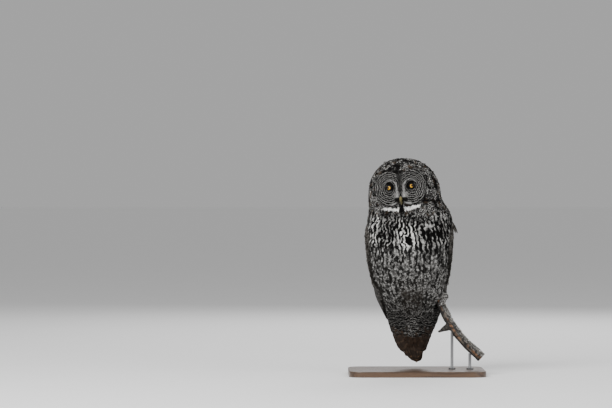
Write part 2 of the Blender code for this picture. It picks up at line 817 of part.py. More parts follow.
def turned(name, profile, group):
    """Turn a profile, listed from top to bottom, into a closed round piece."""
    bm = bmesh.new()
    top = bm.verts.new((0.0, 0.0, profile[0][1]))
    chain = [top]
    for radius, height in profile:
        chain.append(bm.verts.new((radius, 0.0, height)))
    chain.append(bm.verts.new((0.0, 0.0, profile[-1][1])))
    for first, second in zip(chain, chain[1:]):
        bm.edges.new((first, second))
    mesh = bpy.data.meshes.new(name)
    bm.to_mesh(mesh)
    bm.free()
    obj = bpy.data.objects.new(name, mesh)
    group.objects.link(obj)
    screw = obj.modifiers.new("turn", "SCREW")
    screw.steps = 12
    screw.render_steps = 12
    screw.use_merge_vertices = True
    screw.merge_threshold = 0.00001
    screw.use_smooth_shade = True
    return obj


def main():
    """Build the owl, its perch and its stand."""
    clear_scene()
    parts = collection("great_grey_owl")
    cutters = collection("cutters")

    perch = build_perch(parts, cutters)
    branch_cutter = fattened(perch, "perch_room", cutters)
    build_stand(branch_cutter, parts)

    foot_rooms = {}
    leg_rooms = {}
    for side in FOOT_PLACES:
        foot_rooms[side] = build_foot(side, branch_cutter, parts, cutters)
        leg_rooms[side] = build_leg(side, foot_rooms[side], branch_cutter, parts, cutters)
    pocket = as_cutter(
        branch_tube("pocket", POCKET_MOUTH_TO, POCKET_END, POCKET_STEPS, pocket_radius, cutters, 3)
    )

    wing_rooms = {}
    for name, side in (("left", 1), ("right", -1)):
        wing = add_object("wing_" + name, wing_blade(side, 0.0, WING_LIFT), parts)
        finish(wing, "dark_plumage")
        room = wing_blade(side, WING_FIT, WING_ROOM_LIFT)
        wing_rooms[name] = as_cutter(add_object("wing_" + name + "_room", room, cutters))
        if name == "left":
            combine(wing, pocket, "DIFFERENCE")
            combine(wing, foot_rooms[name], "DIFFERENCE")
            combine(wing, leg_rooms[name], "DIFFERENCE")

    head_cut = cut_plane(CUT_HEAD, FACE_ROLL)
    neck_cut = cut_plane(CUT_NECK)
    coverts_cut = cut_plane(CUT_COVERTS)
    tail_cut = cut_plane(CUT_TAIL)

    head_form = part_between(None, head_cut)
    shape_face(head_form)
    head = add_object("head", head_form, parts)
    finish(head, "face")
    for name, side in (("left", 1), ("right", -1)):
        eye = ball("eye_" + name, eye_centre(side), EYE_RADIUS, parts, face_frame())
        finish(eye, "eye")
        room = ball("eye_" + name + "_room", eye_centre(side), EYE_RADIUS + FIT, cutters, face_frame())
        combine(head, as_cutter(room), "DIFFERENCE")
    upper = bill(
        "bill_upper", BILL_ROOT, BILL_AIM,
        (BILL_LENGTH, BILL_HALF_WIDTH, BILL_HALF_HEIGHT, BILL_BEND), parts,
    )
    lower = bill(
        "bill_lower", LOWER_BILL_ROOT, LOWER_BILL_AIM,
        (LOWER_BILL_LENGTH, LOWER_BILL_HALF_WIDTH, LOWER_BILL_HALF_HEIGHT, LOWER_BILL_BEND), parts,
    )
    upper_room = fattened(upper, "bill_upper_room", cutters, BILL_FIT)
    combine(lower, upper_room, "DIFFERENCE")
    combine(head, upper_room, "DIFFERENCE")
    combine(head, fattened(lower, "bill_lower_room", cutters, BILL_FIT), "DIFFERENCE")

    neck = add_object("neck", part_between(head_cut, neck_cut), parts)
    finish(neck, "plumage")
    trunk = add_object("trunk", part_between(neck_cut, coverts_cut), parts)
    finish(trunk, "plumage")
    coverts = add_object("tail_coverts", part_between(coverts_cut, tail_cut), parts)
    finish(coverts, "plumage")
    tail = add_object("tail", part_between(tail_cut, None), parts)
    finish(tail, "dark_plumage")

    for piece in (trunk, coverts):
        for room in wing_rooms.values():
            combine(piece, room, "DIFFERENCE")
        combine(piece, pocket, "DIFFERENCE")
    for room in (*leg_rooms.values(), *foot_rooms.values()):
        combine(trunk, room, "DIFFERENCE")


main()
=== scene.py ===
"""Great grey owl on a cut branch over a display stand: its skin, plumage and finishes.

Metres, +Z up, in the frame of the CAD nodes. The owl faces -Y, and +X is its left.
"""

import logging
import math
from collections.abc import Callable
from dataclasses import dataclass, field
from enum import Enum
from functools import cached_property

import bmesh
import bpy
import numpy as np
from bmesh.types import BMesh
from bpy.types import Material, Mesh, NodeTree
from mathutils import Matrix, Vector, noise
from mathutils.bvhtree import BVHTree


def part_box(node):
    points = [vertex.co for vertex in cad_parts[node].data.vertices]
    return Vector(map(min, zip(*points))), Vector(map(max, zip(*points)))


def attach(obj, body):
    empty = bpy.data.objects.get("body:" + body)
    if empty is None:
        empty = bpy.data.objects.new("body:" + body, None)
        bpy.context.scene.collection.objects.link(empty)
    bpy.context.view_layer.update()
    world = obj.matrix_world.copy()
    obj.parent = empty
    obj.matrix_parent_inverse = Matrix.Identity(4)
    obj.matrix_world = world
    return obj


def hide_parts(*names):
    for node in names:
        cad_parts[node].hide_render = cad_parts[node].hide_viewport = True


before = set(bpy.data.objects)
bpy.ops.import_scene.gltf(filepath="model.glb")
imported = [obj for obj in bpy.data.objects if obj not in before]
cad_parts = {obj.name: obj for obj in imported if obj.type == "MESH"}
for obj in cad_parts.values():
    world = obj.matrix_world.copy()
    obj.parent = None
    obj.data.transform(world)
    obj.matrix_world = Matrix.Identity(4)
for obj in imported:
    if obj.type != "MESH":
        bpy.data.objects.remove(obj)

Colour = tuple[float, float, float]
Array = np.ndarray

log = logging.getLogger("owl")

BODY = "root"
FLESH_NODES = (
    "head", "neck", "trunk", "tail_coverts", "tail", "wing_left", "wing_right",
    "leg_left", "leg_right", "foot_left", "foot_right",
)

# Roots and tips of the ruffled feathers that stand off the left shoulder
LOOSE_FEATHERS = (
    ((0.0985, -0.004, 0.5010), (0.1300, -0.008, 0.4490)),
    ((0.1000, 0.002, 0.4960), (0.1268, -0.002, 0.4580)),
    ((0.1030, -0.010, 0.4880), (0.1235, -0.014, 0.4500)),
)
LOOSE_BEND = 0.004
LOOSE_HALF_WIDTH = 0.0052

# Middles of the feathered feet
FOOT_MIDDLES = ((0.0785, -0.0105, 0.2400), (0.0153, -0.0048, 0.2943))

# Heights that part the plumage
CROWN_PART_HEIGHT = 0.598
NAPE_HEIGHT = 0.500
BREAST_HEIGHT = 0.405
COVERTS_HEIGHT = 0.205
TAIL_HEIGHT = 0.118

# The body's middle line: height, middle to the left, middle to the back
AXIS_Z = (0.034, 0.060, 0.120, 0.200, 0.300, 0.560, 0.690)
AXIS_X = (0.005, -0.004, -0.011, -0.013, -0.020, -0.036, -0.038)
AXIS_Y = (0.054, 0.053, 0.049, 0.030, 0.005, 0.012, 0.012)
BODY_RADIUS = 0.125

# Leading edge of the folded wings, in degrees round the body from the breast
WING_Z = (0.168, 0.188, 0.215, 0.255, 0.300, 0.360, 0.410, 0.452, 0.478)
WING_LEAD = (96.0, 86.0, 76.0, 68.0, 65.0, 65.0, 68.0, 77.0, 92.0)
WING_TRAIL = (112.0, 132.0, 156.0, 173.0, 177.0, 176.5, 170.0, 146.0, 120.0)
PRIMARY_TIPS = (0.234, 0.208, 0.187, 0.173, 0.169, 0.172, 0.180, 0.190)
RIGHT_WING_FORWARD = 12.0
RIGHT_WING_HEIGHT = 0.240
RIGHT_WING_SPAN = 0.050


class Palette(Enum):
    """Colours of the plumage, as linear red, green and blue."""

    BLACK = (0.0052, 0.0049, 0.0048)
    DARK = (0.0085, 0.0078, 0.0072)
    UMBER = (0.0340, 0.0240, 0.0165)
    TAN = (0.150, 0.088, 0.045)
    SILVER = (0.300, 0.295, 0.284)
    WHITE = (0.880, 0.870, 0.840)


def operator(operation: str, swapped: bool = False) -> Callable[["Signal", "Value"], "Signal"]:
    """Make an operator of signals from an operation of the Math node.

    Args:
        operation: Name of the operation.
        swapped: Whether the signal is the second of the two values.

    Returns:
        The operator.
    """

    def work(signal: "Signal", other: "Value") -> "Signal":
        """Reckon with a signal and another value."""
        pair = (other, signal) if swapped else (signal, other)
        return signal.graph.math(operation, *pair)

    return work


@dataclass(frozen=True)
class Signal:
    """A varying value in a shader tree that takes part in ordinary sums."""

    graph: "Graph"
    socket: bpy.types.NodeSocket

    __add__ = __radd__ = operator("ADD")
    __mul__ = __rmul__ = operator("MULTIPLY")
    __sub__ = operator("SUBTRACT")
    __rsub__ = operator("SUBTRACT", True)
    __truediv__ = operator("DIVIDE")
    most = operator("MAXIMUM")
    least = operator("MINIMUM")
    angle_from = operator("ARCTAN2")

    def __abs__(self) -> "Signal":
        """Drop the sign."""
        return self.graph.math("ABSOLUTE", self)

    def wave(self) -> "Signal":
        """Swing between -1 and 1, once for each whole number."""
        return self.graph.math("SINE", self * (2.0 * math.pi))

    def distance(self, other: "Signal") -> "Signal":
        """Give the length of the line whose two parts these are."""
        return self.graph.math("SQRT", self * self + other * other)

    def rise(self, low: float, high: float) -> "Signal":
        """Ease from 0 below the low value to 1 above the high one."""
        sockets = dict(enumerate((self, low, high, 0.0, 1.0)))
        return self.graph.node("MapRange", sockets, interpolation_type="SMOOTHSTEP")

    def fall(self, low: float, high: float) -> "Signal":
        """Ease from 1 below the low value to 0 above the high one."""
        return 1.0 - self.rise(low, high)

    def band(self, middle: float, half: float, soft: float) -> "Signal":
        """Give 1 within a half width of a middle value, and fade over a soft edge."""
        return abs(self - middle).fall(half, half + soft)


Value = Signal | float


class Graph:
    """Adds nodes to a shader tree and links them."""

    def __init__(self, tree: NodeTree) -> None:
        """Take the tree to work on."""
        self.tree = tree

    def node(
        self, kind: str, sockets: dict[int | str, object], output: int | str = 0, **settings: object
    ) -> Signal:
        """Add a node.

        Args:
            kind: Type of the node, without its ShaderNode prefix.
            sockets: What its inputs get, by number or name.
            output: Number or name of the output to read.
            settings: Values of the node's own properties.

        Returns:
            The output.
        """
        item = self.tree.nodes.new("ShaderNode" + kind)
        for key, value in settings.items():
            setattr(item, key, value)
        for key, value in sockets.items():
            self.feed(item.inputs[key], value)
        return Signal(self, item.outputs[output])

    def feed(self, socket: bpy.types.NodeSocket, value: object) -> None:
        """Link a signal to a socket, or set the socket to a number or colour."""
        if isinstance(value, Signal):
            self.tree.links.new(value.socket, socket)
        elif isinstance(value, Palette):
            socket.default_value = (*value.value, 1.0)
        elif isinstance(value, tuple) and socket.type == "RGBA":
            socket.default_value = (*value, 1.0)
        else:
            socket.default_value = value

    def math(self, operation: str, *values: Value) -> Signal:
        """Add a Math node."""
        return self.node("Math", dict(enumerate(values)), operation=operation)

    def vector_math(self, operation: str, first: object, second: object, output: int | str = 0) -> Signal:
        """Add a Vector Math node."""
        return self.node("VectorMath", {0: first, 1: second}, output, operation=operation)

    @cached_property
    def place(self) -> Signal:
        """The place on the object."""
        return self.node("TexCoord", {}, "Object")

    def map_place(self, name: str) -> tuple[Signal, Signal]:
        """Read both parts of a UV map."""
        return self.parts(self.node("UVMap", {}, uv_map=name))[:2]

    def attribute(self, name: str, output: str = "Fac") -> Signal:
        """Read a value or a vector that the mesh carries."""
        return self.node("Attribute", {}, output, attribute_name=name)

    def parts(self, vector: Signal) -> tuple[Signal, Signal, Signal]:
        """Split a vector."""
        item = self.node("SeparateXYZ", {0: vector}).socket.node
        return tuple(Signal(self, output) for output in item.outputs)

    def noise(
        self, scale: float, detail: float = 2.0, roughness: float = 0.5,
        at: tuple[Value, Value, Value] | None = None,
    ) -> Signal:
        """Read a cloudy value round 0.5.

        Args:
            scale: Clouds for each metre.
            detail: Number of finer layers.
            roughness: Strength of the finer layers.
            at: Where to read it, or else at the place on the object.

        Returns:
            The value.
        """
        place = self.node("CombineXYZ", dict(enumerate(at))) if at else self.place
        sockets = {"Vector": place, "Scale": scale, "Detail": detail, "Roughness": roughness}
        return self.node("TexNoise", sockets)

    def mix(self, share: Value, low: object, high: object) -> Signal:
        """Mix two colours."""
        return self.node("Mix", {0: share, 6: low, 7: high}, 2, data_type="RGBA")

    def layered(self, base: object, *coats: tuple[Value, object]) -> Signal:
        """Lay colours over a base, each with its own share."""
        for share, colour in coats:
            base = self.mix(share, base, colour)
        return base

    def scaled(self, colour: Signal, amount: Value) -> Signal:
        """Darken or lighten a colour."""
        return self.node("VectorMath", {0: colour, "Scale": amount}, operation="SCALE")

    def group(self, tree: NodeTree, sockets: dict[str, Signal]) -> dict[str, Signal]:
        """Place a node group and read its outputs by name."""
        item = self.node("Group", sockets, node_tree=tree).socket.node
        return {output.name: Signal(self, output) for output in item.outputs}

    def bump(self, height: Signal, strength: float, distance: float) -> Signal:
        """Turn a height into a normal."""
        return self.node("Bump", {"Strength": strength, "Distance": distance, "Height": height})


class Effect(Graph):
    """A shader node group that several materials share."""

    def __init__(self, name: str, inputs: dict[str, float], outputs: dict[str, str]) -> None:
        """Make the group and its sockets.

        Args:
            name: Name of the group.
            inputs: Input names with their standard values.
            outputs: Output names with the kind of their sockets.
        """
        super().__init__(bpy.data.node_groups.new(name, "ShaderNodeTree"))
        sockets = self.tree.interface
        for key, value in inputs.items():
            socket = sockets.new_socket(key, in_out="INPUT", socket_type="NodeSocketFloat")
            socket.default_value = value
        for key, kind in outputs.items():
            sockets.new_socket(key, in_out="OUTPUT", socket_type="NodeSocket" + kind)
        entry = self.tree.nodes.new("NodeGroupInput")
        self.inputs = [Signal(self, entry.outputs[key]) for key in inputs]
        self.exit = self.tree.nodes.new("NodeGroupOutput")

    def put(self, **values: Signal) -> NodeTree:
        """Send values to the outputs and give the group."""
        for name, value in values.items():
            self.feed(self.exit.inputs[name], value)
        return self.tree


class Paint(Graph):
    """A new material's shader tree."""

    def __init__(self, name: str) -> None:
        """Make the material, with its Principled shader."""
        self.material = bpy.data.materials.new(name)
        self.material.use_nodes = True
        super().__init__(self.material.node_tree)

    def finish(
        self, colour: Signal, roughness: Value, normal: Signal | None = None, **more: float
    ) -> None:
        """Feed the shader.

        Args:
            colour: Colour of the surface.
            roughness: Its roughness.
            normal: Its normal, where it has relief.
            more: Numbers for other sockets, with underscores in their names.
        """
        shader = self.tree.nodes["Principled BSDF"]
        self.feed(shader.inputs["Base Color"], colour)
        self.feed(shader.inputs["Roughness"], roughness)
        if normal:
            self.feed(shader.inputs["Normal"], normal)
        for name, value in more.items():
            shader.inputs[name.replace("_", " ")].default_value = value


class Finish:
    """What a surface looks like."""

    def material(self, name: str) -> Material:
        """Make the material.

        Args:
            name: Name of the material.

        Returns:
            The material.
        """
        paint = Paint(name)
        self.cover(paint)
        return paint.material


@dataclass(frozen=True)
class FacePlan:
    """Sizes and places of the face: two discs, one round each eye, beside a ridge."""

    middle: Vector = field(default_factory=lambda: Vector((-0.0540, -0.070, 0.5955)))
    turn: float = math.radians(-9.0)
    roll: float = math.radians(-5.2)
    eye_spacing: float = 0.071
    disc_side: float = 0.0475
    disc_up: float = 0.0520
    disc_down: float = 0.0580
    depth: float = 0.046

    @property
    def matrix(self) -> Matrix:
        """Turn of the face: x to the owl's left, y into the head, z up."""
        return Matrix.Rotation(self.turn, 3, "Z") @ Matrix.Rotation(self.roll, 3, "Y")

    def world(self, across: float, into: float, up: float) -> Vector:
        """Place a point of the face."""
        return self.middle + self.matrix @ Vector((across, into, up))

    def local(self, points: Array) -> Array:
        """Measure points across the face, into it and up it."""
        return ((points - np.array(self.middle)) @ np.array(self.matrix)).T

    def reach(self, across: Array, up: Array) -> Array:
        """Measure how far out on a disc points lie: 0 at the eye, 1 at the rim."""
        side = (np.abs(across) - self.eye_spacing / 2.0) / self.disc_side
        return np.hypot(side, np.maximum(up / self.disc_up, -up / self.disc_down))


FACE = FacePlan()


@dataclass
class Markings:
    """The pattern of the plumage, laid out on the body and shared by skin and coat."""

    rings: float = 8.7
    ring_wander: float = 1.9
    crescent_radius: float = 0.0225
    crescent_half: float = 0.0015
    limb_across: float = 0.0115
    streak_columns: float = 64.0
    streak_rows: float = 37.0
    coverts_bar: float = 0.0070
    belly_bar: float = 0.0095

    def __post_init__(self) -> None:
        """Make the node group, and measure the place on its feather, the face and the body."""
        self.effect = Effect(
            "owl_markings",
            {"Across": 0.5, "Along": 0.5, "Chance": 0.5},
            {"Colour": "Color", "Height": "Float"},
        )
        self.noise = self.effect.noise
        self.layered = self.effect.layered
        vane_across, self.along, self.chance = self.effect.inputs
        self.from_shaft = abs(vane_across - 0.5)
        self.half = self.from_shaft * 2.0
        self.jitter = self.chance - 0.5
        offset = self.effect.vector_math("SUBTRACT", self.effect.place, tuple(FACE.middle))
        self.leftward, into, self.up = (
            self.effect.vector_math("DOT_PRODUCT", offset, tuple(axis), "Value")
            for axis in FACE.matrix.transposed()
        )
        self.across = abs(self.leftward)
        self.inner = FACE.eye_spacing / 2.0 - self.across
        rise = (self.up / FACE.disc_up).most(self.up / -FACE.disc_down)
        self.reach = (self.inner / FACE.disc_side).distance(rise)
        self.front = into.fall(0.040, 0.050)
        x, self.y, self.height = self.effect.parts(self.effect.place)
        z = self.height
        middle_y = 0.005 + 0.026 * z.fall(0.19, 0.30) + 0.020 * z.fall(0.10, 0.20)
        self.around = (x + 0.0075 + 0.045 * z).angle_from(middle_y - self.y) * BODY_RADIUS
        lead = 0.146 + 0.050 * z.fall(0.180, 0.250) + 0.040 * z.rise(0.440, 0.485)
        lead = lead - 0.026 * self.around.fall(-0.100, -0.050) * z.band(RIGHT_WING_HEIGHT, 0.020, 0.040)
        self.past_lead = abs(self.around) - lead

    def face(self) -> Signal:
        """Colour the facial discs: rings round the eyes, pale crescents, dark middle.

        Returns:
            Their colour.
        """
        across, up, inner, reach = self.across, self.up, self.inner, self.reach
        wander = self.noise(40.0) - 0.5
        quiver = self.noise(150.0, 1.0) - 0.5
        fleck = self.noise(330.0).rise(0.38, 0.60)
        rough = 0.55 + 0.45 * fleck
        swing = reach * self.rings + wander * self.ring_wander + quiver * 0.9 + self.chance * 0.30
        rings = swing.wave().rise(0.10, 0.85) * (0.30 + 0.70 * fleck)
        glow = 0.50 + 0.50 * reach.rise(0.10, 0.55)
        middle = across.fall(0.0022, 0.0062) * up.rise(-0.030, -0.014)
        opening = (across - up.most(0.0) * 0.14).fall(0.0008, 0.0072) * up.rise(-0.004, 0.016) * 0.85
        beside_bill = across.band(0.0135, 0.0060, 0.0060) * up.band(-0.0270, 0.0060, 0.0070)
        under_bill = across.band(0.0190, 0.0090, 0.0070) * up.band(-0.0590, 0.0062, 0.0050)
        sweep = inner.rise(-0.019, -0.002) * up.rise(-0.014, -0.006)
        ring = (inner - 0.002).distance(up) + quiver * 0.004
        crescent = ring.band(self.crescent_radius, self.crescent_half, 0.0022) * sweep
        limb = (across + quiver * 0.004).band(self.limb_across, 0.0018, 0.0026)
        limb = limb * up.band(-0.0200, 0.0110, 0.0060)
        faded = (1.0 - 0.55 * up.rise(0.006, 0.022)) * (0.55 + 0.45 * (quiver + 0.5).rise(0.40, 0.58))
        eye_ring = inner.distance(up)
        corner = inner.rise(-0.004, 0.006).most(up.rise(0.004, 0.010) * inner.rise(-0.016, -0.004))
        shadow = eye_ring.fall(0.0150, 0.0182) * corner * up.rise(-0.015, -0.007)
        shadow = shadow.most(eye_ring.fall(0.0078, 0.0098))
        dark = self.layered(Palette.BLACK, (fleck, (0.030, 0.029, 0.028)))
        return self.layered(
            Palette.BLACK,
            (rings * glow, (0.310, 0.304, 0.293)),
            (middle.most(opening) * 0.93, dark),
            (beside_bill * 0.80 * rough, (0.260, 0.254, 0.246)),
            (under_bill * 0.88 * rough, (0.450, 0.442, 0.430)),
            (crescent.most(limb) * rough * faded, (0.430, 0.422, 0.410)),
            (shadow * 0.97, Palette.BLACK),
        )

    def throat(self, base: Signal) -> Signal:
        """Lay the dark rim, the white bow tie and the black chin over a colour.

        Args:
            base: The colour.

        Returns:
            The colour with the throat on it.
        """
        across, up = self.across, self.up
        rough = self.noise(210.0) - 0.5
        ragged = self.noise(1.0, 1.0, at=(across * 330.0, up * 60.0, 1.7)) - 0.5
        uneven = rough * 0.010 + ragged * 0.011 + self.jitter * 0.004
        rim = (self.reach + rough * 0.12).band(1.040, 0.020, 0.045) * self.noise(36.0, 1.0).rise(0.40, 0.58)
        tie = (across / 0.064).least(1.0)
        tie_half = (0.0054 - 0.0038 * tie * tie * tie) * (1.0 - 0.22 * self.leftward.fall(-0.022, -0.012))
        tie_line = abs(up + 0.0742 - 0.160 * across)
        tie_mask = (tie_line + uneven - tie_half).fall(0.0, 0.0012) * (across + uneven).fall(0.056, 0.063)
        tie_mask = tie_mask * (0.55 + 0.45 * (rough + self.chance * 0.5).rise(-0.10, 0.25))
        chin_half = 0.0044 + 0.0046 * up.fall(-0.076, -0.062)
        chin = (across + uneven * 0.5 - chin_half).fall(0.0, 0.0018) * up.band(-0.0620, 0.0180, 0.0030)
        whiskers = across.band(0.0105, 0.0070, 0.0060) * up.band(-0.0405, 0.0045, 0.0045)
        return self.layered(
            base,
            (rim * self.front * 0.80, Palette.DARK),
            (tie_mask * self.front, Palette.WHITE),
            (chin.most(whiskers * 0.95) * self.front, Palette.BLACK),
        )

    def head(self) -> Signal:
        """Colour the crown and nape: dark, with pale wavy crosswise bars and brown spots.

        Returns:
            Their colour.
        """
        half = self.half
        behind = self.y.rise(0.010, 0.050)
        coarse = self.noise(46.0) + behind * 0.04
        bend = self.noise(62.0, 1.0) * (1.4 + 2.2 * self.reach.rise(1.00, 1.45))
        arcs = (self.reach * 7.6 + bend + self.chance * 0.5).wave().rise(0.05, 0.60)
        own = (self.along * 2.4 + half * half * 0.35 + self.chance * 4.0).wave().rise(0.15, 0.60)
        fleck = (arcs * 0.75 + own * 0.40).least(1.0) * self.noise(270.0, 2.0, 0.6).rise(0.44, 0.58)
        brown = self.noise(62.0, 1.0).rise(0.58, 0.67)
        base = self.layered(Palette.BLACK, (behind, (0.0160, 0.0144, 0.0128)), (brown * 0.85, Palette.UMBER))
        pale = self.layered((0.640, 0.628, 0.605), (brown * 0.80, Palette.TAN))
        return self.layered(base, (fleck * coarse.rise(0.38, 0.60) * 0.90, pale))

    def breast(self) -> Signal:
        """Colour the breast and belly: dark streaks on pale grey, finer and barred lower down.

        Returns:
            Their colour.
        """
        around, height, half, jitter = self.around, self.height, self.half, self.jitter
        warp = self.noise(1.0, 2.0, at=(around * 24.0, height * 30.0, 5.5)) - 0.5
        gaps = self.noise(1.0, 1.0, 0.4, (around * 95.0, height * self.streak_rows, 3.3)) - 0.5
        thin = self.noise(1.0, 1.0, 0.4, (around * 260.0, height * 46.0, 8.1)) - 0.5
        columns = (around * self.streak_columns + warp * 2.9 + jitter * 0.30).wave()
        clump = self.noise(30.0, 1.0) - 0.5
        glow = around.band(-0.006, 0.018, 0.030) * height.band(0.440, 0.024, 0.040)
        flank = around.band(-0.132, 0.010, 0.016) * height.band(0.462, 0.034, 0.025)
        broken = gaps.least(0.065).most(-0.17)
        streak = columns * 0.24 + broken * 1.40 + thin * 0.55 + clump * 0.16 + jitter * 0.14 - glow * 0.10
        upper = height.rise(0.320, 0.420)
        blots = columns * 0.16 + (self.noise(85.0) - 0.5) * 1.7 + gaps * 0.7 + clump * 0.5 + jitter * 0.20
        dark = streak.rise(-0.23, -0.08) * upper + blots.rise(-0.05, 0.15) * (1.0 - upper) * 0.92
        shaft = half.fall(0.08, 0.34) * self.along.rise(0.30, 0.60) * self.chance.rise(0.45, 0.70)
        mottle = self.noise(130.0, 3.0, 0.6)
        fine = mottle.rise(0.36, 0.56)
        patch = self.noise(24.0, 1.0).rise(0.38, 0.62)
        swing = height / self.belly_bar + half * half * 0.35 + self.noise(48.0, 1.0) * 2.6 + jitter * 0.9
        own = (self.along * 3.4 + half * half * 0.45 + self.chance * 5.0).wave()
        bars = (swing.wave() * 0.55 + own * 0.60).rise(-0.10, 0.60)
        lower = height.fall(0.300, 0.400)
        bright = self.layered(Palette.SILVER, (fine, Palette.WHITE))
        black = self.layered(Palette.BLACK, (lower, (0.0095, 0.0088, 0.0080)))
        # painted shade: a darker patch low on the front, between the legs, where shade falls
        painted_shade = around.band(0.002, 0.034, 0.030) * height.band(0.238, 0.022, 0.022)
        cloud = self.noise(75.0).rise(0.40, 0.60)
        coverts = height / self.coverts_bar + self.noise(70.0) * 2.2 + jitter * 1.1
        light = coverts.wave().rise(-0.08, 0.72) * (0.40 + 0.60 * fine)
        # painted shade: the pale bars are dimmed towards the sides of the undertail
        light = light * (1.0 - 0.45 * abs(around).rise(0.040, 0.085))
        border = height + clump * 0.090 + jitter * 0.026
        return self.layered(
            (0.072, 0.070, 0.067),
            (mottle.rise(0.40, 0.62), (0.340, 0.334, 0.322)),
            (glow.most(flank).most(upper * 0.30 * patch), bright),
            (bars * lower * 0.75, (0.026, 0.0245, 0.0230)),
            ((dark + shaft * 0.40).least(1.0), black),
            (painted_shade * (0.25 + 0.55 * cloud), (0.0250, 0.0205, 0.0165)),
            (border.fall(0.186, 0.222), self.layered(Palette.BLACK, (light, (0.225, 0.219, 0.209)))),
        )

    def mantle(self) -> Signal:
        """Colour the back and the wings' coverts: dark brown-grey with paler mottling.

        Returns:
            Their colour.
        """
        half, along, chance = self.half, self.along, self.chance
        fine = self.noise(240.0, 3.0, 0.6)
        swing = along * 3.4 + half * half * 0.35 + chance * 3.0 + fine * 0.8
        bars = swing.wave().rise(0.00, 0.70) * 0.45 + fine.rise(0.45, 0.60) * 0.60
        mottle = bars.least(1.0) * self.noise(52.0, 3.0, 0.6).rise(0.36, 0.60)
        spot = half.rise(0.30, 0.60) * along.band(0.80, 0.10, 0.06) * chance.rise(0.45, 0.60)
        edge = self.past_lead.band(0.008, 0.014, 0.016) * self.height.fall(0.34, 0.44)
        return self.layered(
            (0.0175, 0.0155, 0.0135),
            (mottle * 0.90, (0.215, 0.200, 0.180)),
            (half.fall(0.06, 0.22) * 0.6, Palette.DARK),
            (spot * 0.50, (0.250, 0.240, 0.223)),
            (edge * 0.80, Palette.DARK),
        )

    def near_feet(self) -> Signal:
        """Say how near the place is to a foot, from 0 to 1."""
        near = [
            self.effect.vector_math("DISTANCE", self.effect.place, middle, "Value").fall(0.026, 0.034)
            for middle in FOOT_MIDDLES
        ]
        return near[0].most(near[1])

    def tree(self) -> NodeTree:
        """Build the node group of the whole pattern.

        Returns:
            The group.
        """
        half, along, chance, jitter, z = self.half, self.along, self.chance, self.jitter, self.height
        edge = self.noise(60.0) - 0.5
        behind = (self.past_lead + edge * 0.026 + jitter * 0.010).rise(-0.003, 0.003)
        step = z + edge * 0.050 + jitter * 0.030
        ruff = (step - 0.30 * (self.across - 0.05).most(0.0)).rise(0.484, 0.516)
        ruff = ruff.most(self.reach.fall(1.06, 1.10) * self.front)
        disc = (self.reach + edge * 0.16 + jitter * 0.06).fall(0.970, 1.050) * self.front
        upper = self.layered(self.breast(), (behind, self.mantle()), (ruff, self.head()), (disc, self.face()))
        tail = (z + edge * 0.012).fall(TAIL_HEIGHT - 0.003, TAIL_HEIGHT + 0.003)
        mottle = self.noise(230.0, 3.0, 0.6).rise(0.42, 0.58)
        toes = self.layered((0.050, 0.047, 0.044), (mottle, (0.420, 0.410, 0.395)))
        colour = self.layered(self.throat(upper), (tail, (0.030, 0.0200, 0.0145)), (self.near_feet(), toes))
        strand = self.noise(1.0, 1.0, at=(half * 1.4, (along - half * 0.22) * 46.0, chance * 31.0))
        variety = (0.82 + 0.36 * chance) * (0.62 + 0.76 * strand)
        barbs = (self.from_shaft * 9.0 + along * 26.0).wave() * 0.5
        height = barbs * 0.35 + self.from_shaft.fall(0.015, 0.050) + self.noise(500.0) * 0.8
        return self.effect.put(Colour=self.effect.scaled(colour, variety), Height=height)


@dataclass(frozen=True)
class PlumageFinish(Finish):
    """Soft plumage: the shared markings under a matt surface with fine barbs."""

    markings: NodeTree
    vanes: bool
    roughness: float = 0.90
    specular: float = 0.02
    barb_depth: float = 0.0004

    def cover(self, paint: Paint) -> None:
        """Paint the surface: a skin, or vanes with a map of their own."""
        sockets = {}
        if self.vanes:
            across, along = paint.map_place("Vane")
            sockets = {"Across": across, "Along": along, "Chance": paint.attribute("chance")}
        marks = paint.group(self.markings, sockets)
        normal = paint.bump(marks["Height"], 0.5, self.barb_depth)
        paint.finish(marks["Colour"], self.roughness, normal, Specular_IOR_Level=self.specular)


@dataclass(frozen=True)
class FlightFinish(Finish):
    """Long feathers of wing and tail: barred vanes with a dark shaft."""

    dark: Colour
    pale: Colour
    tip: Colour
    bars: float
    roughness: float = 0.62

    def cover(self, paint: Paint) -> None:
        """Paint the surface."""
        across, along = paint.map_place("Vane")
        chance = paint.attribute("chance")
        half = abs(across - 0.5) * 2.0
        fine = paint.noise(260.0, 3.0, 0.6)
        mottle = fine.rise(0.38, 0.60)
        swing = along * self.bars + half * half * 0.30 + paint.noise(60.0, 1.0) * 0.6 + chance * 0.35
        shaft = half.fall(0.02, 0.09)
        colour = paint.layered(
            self.dark,
            (swing.wave().rise(0.00, 0.90) * (0.25 + 0.75 * mottle), self.pale),
            (shaft * 0.8, Palette.DARK),
            (along.rise(0.955, 0.990) * mottle, self.tip),
        )
        height = (half * 14.0 + along * 90.0).wave() * 0.30 + shaft * 1.5 + fine * 0.5
        normal = paint.bump(height, 0.5, 0.0005)
        colour = paint.scaled(colour, 0.8 + 0.4 * chance)
        paint.finish(colour, self.roughness, normal, Specular_IOR_Level=0.16)


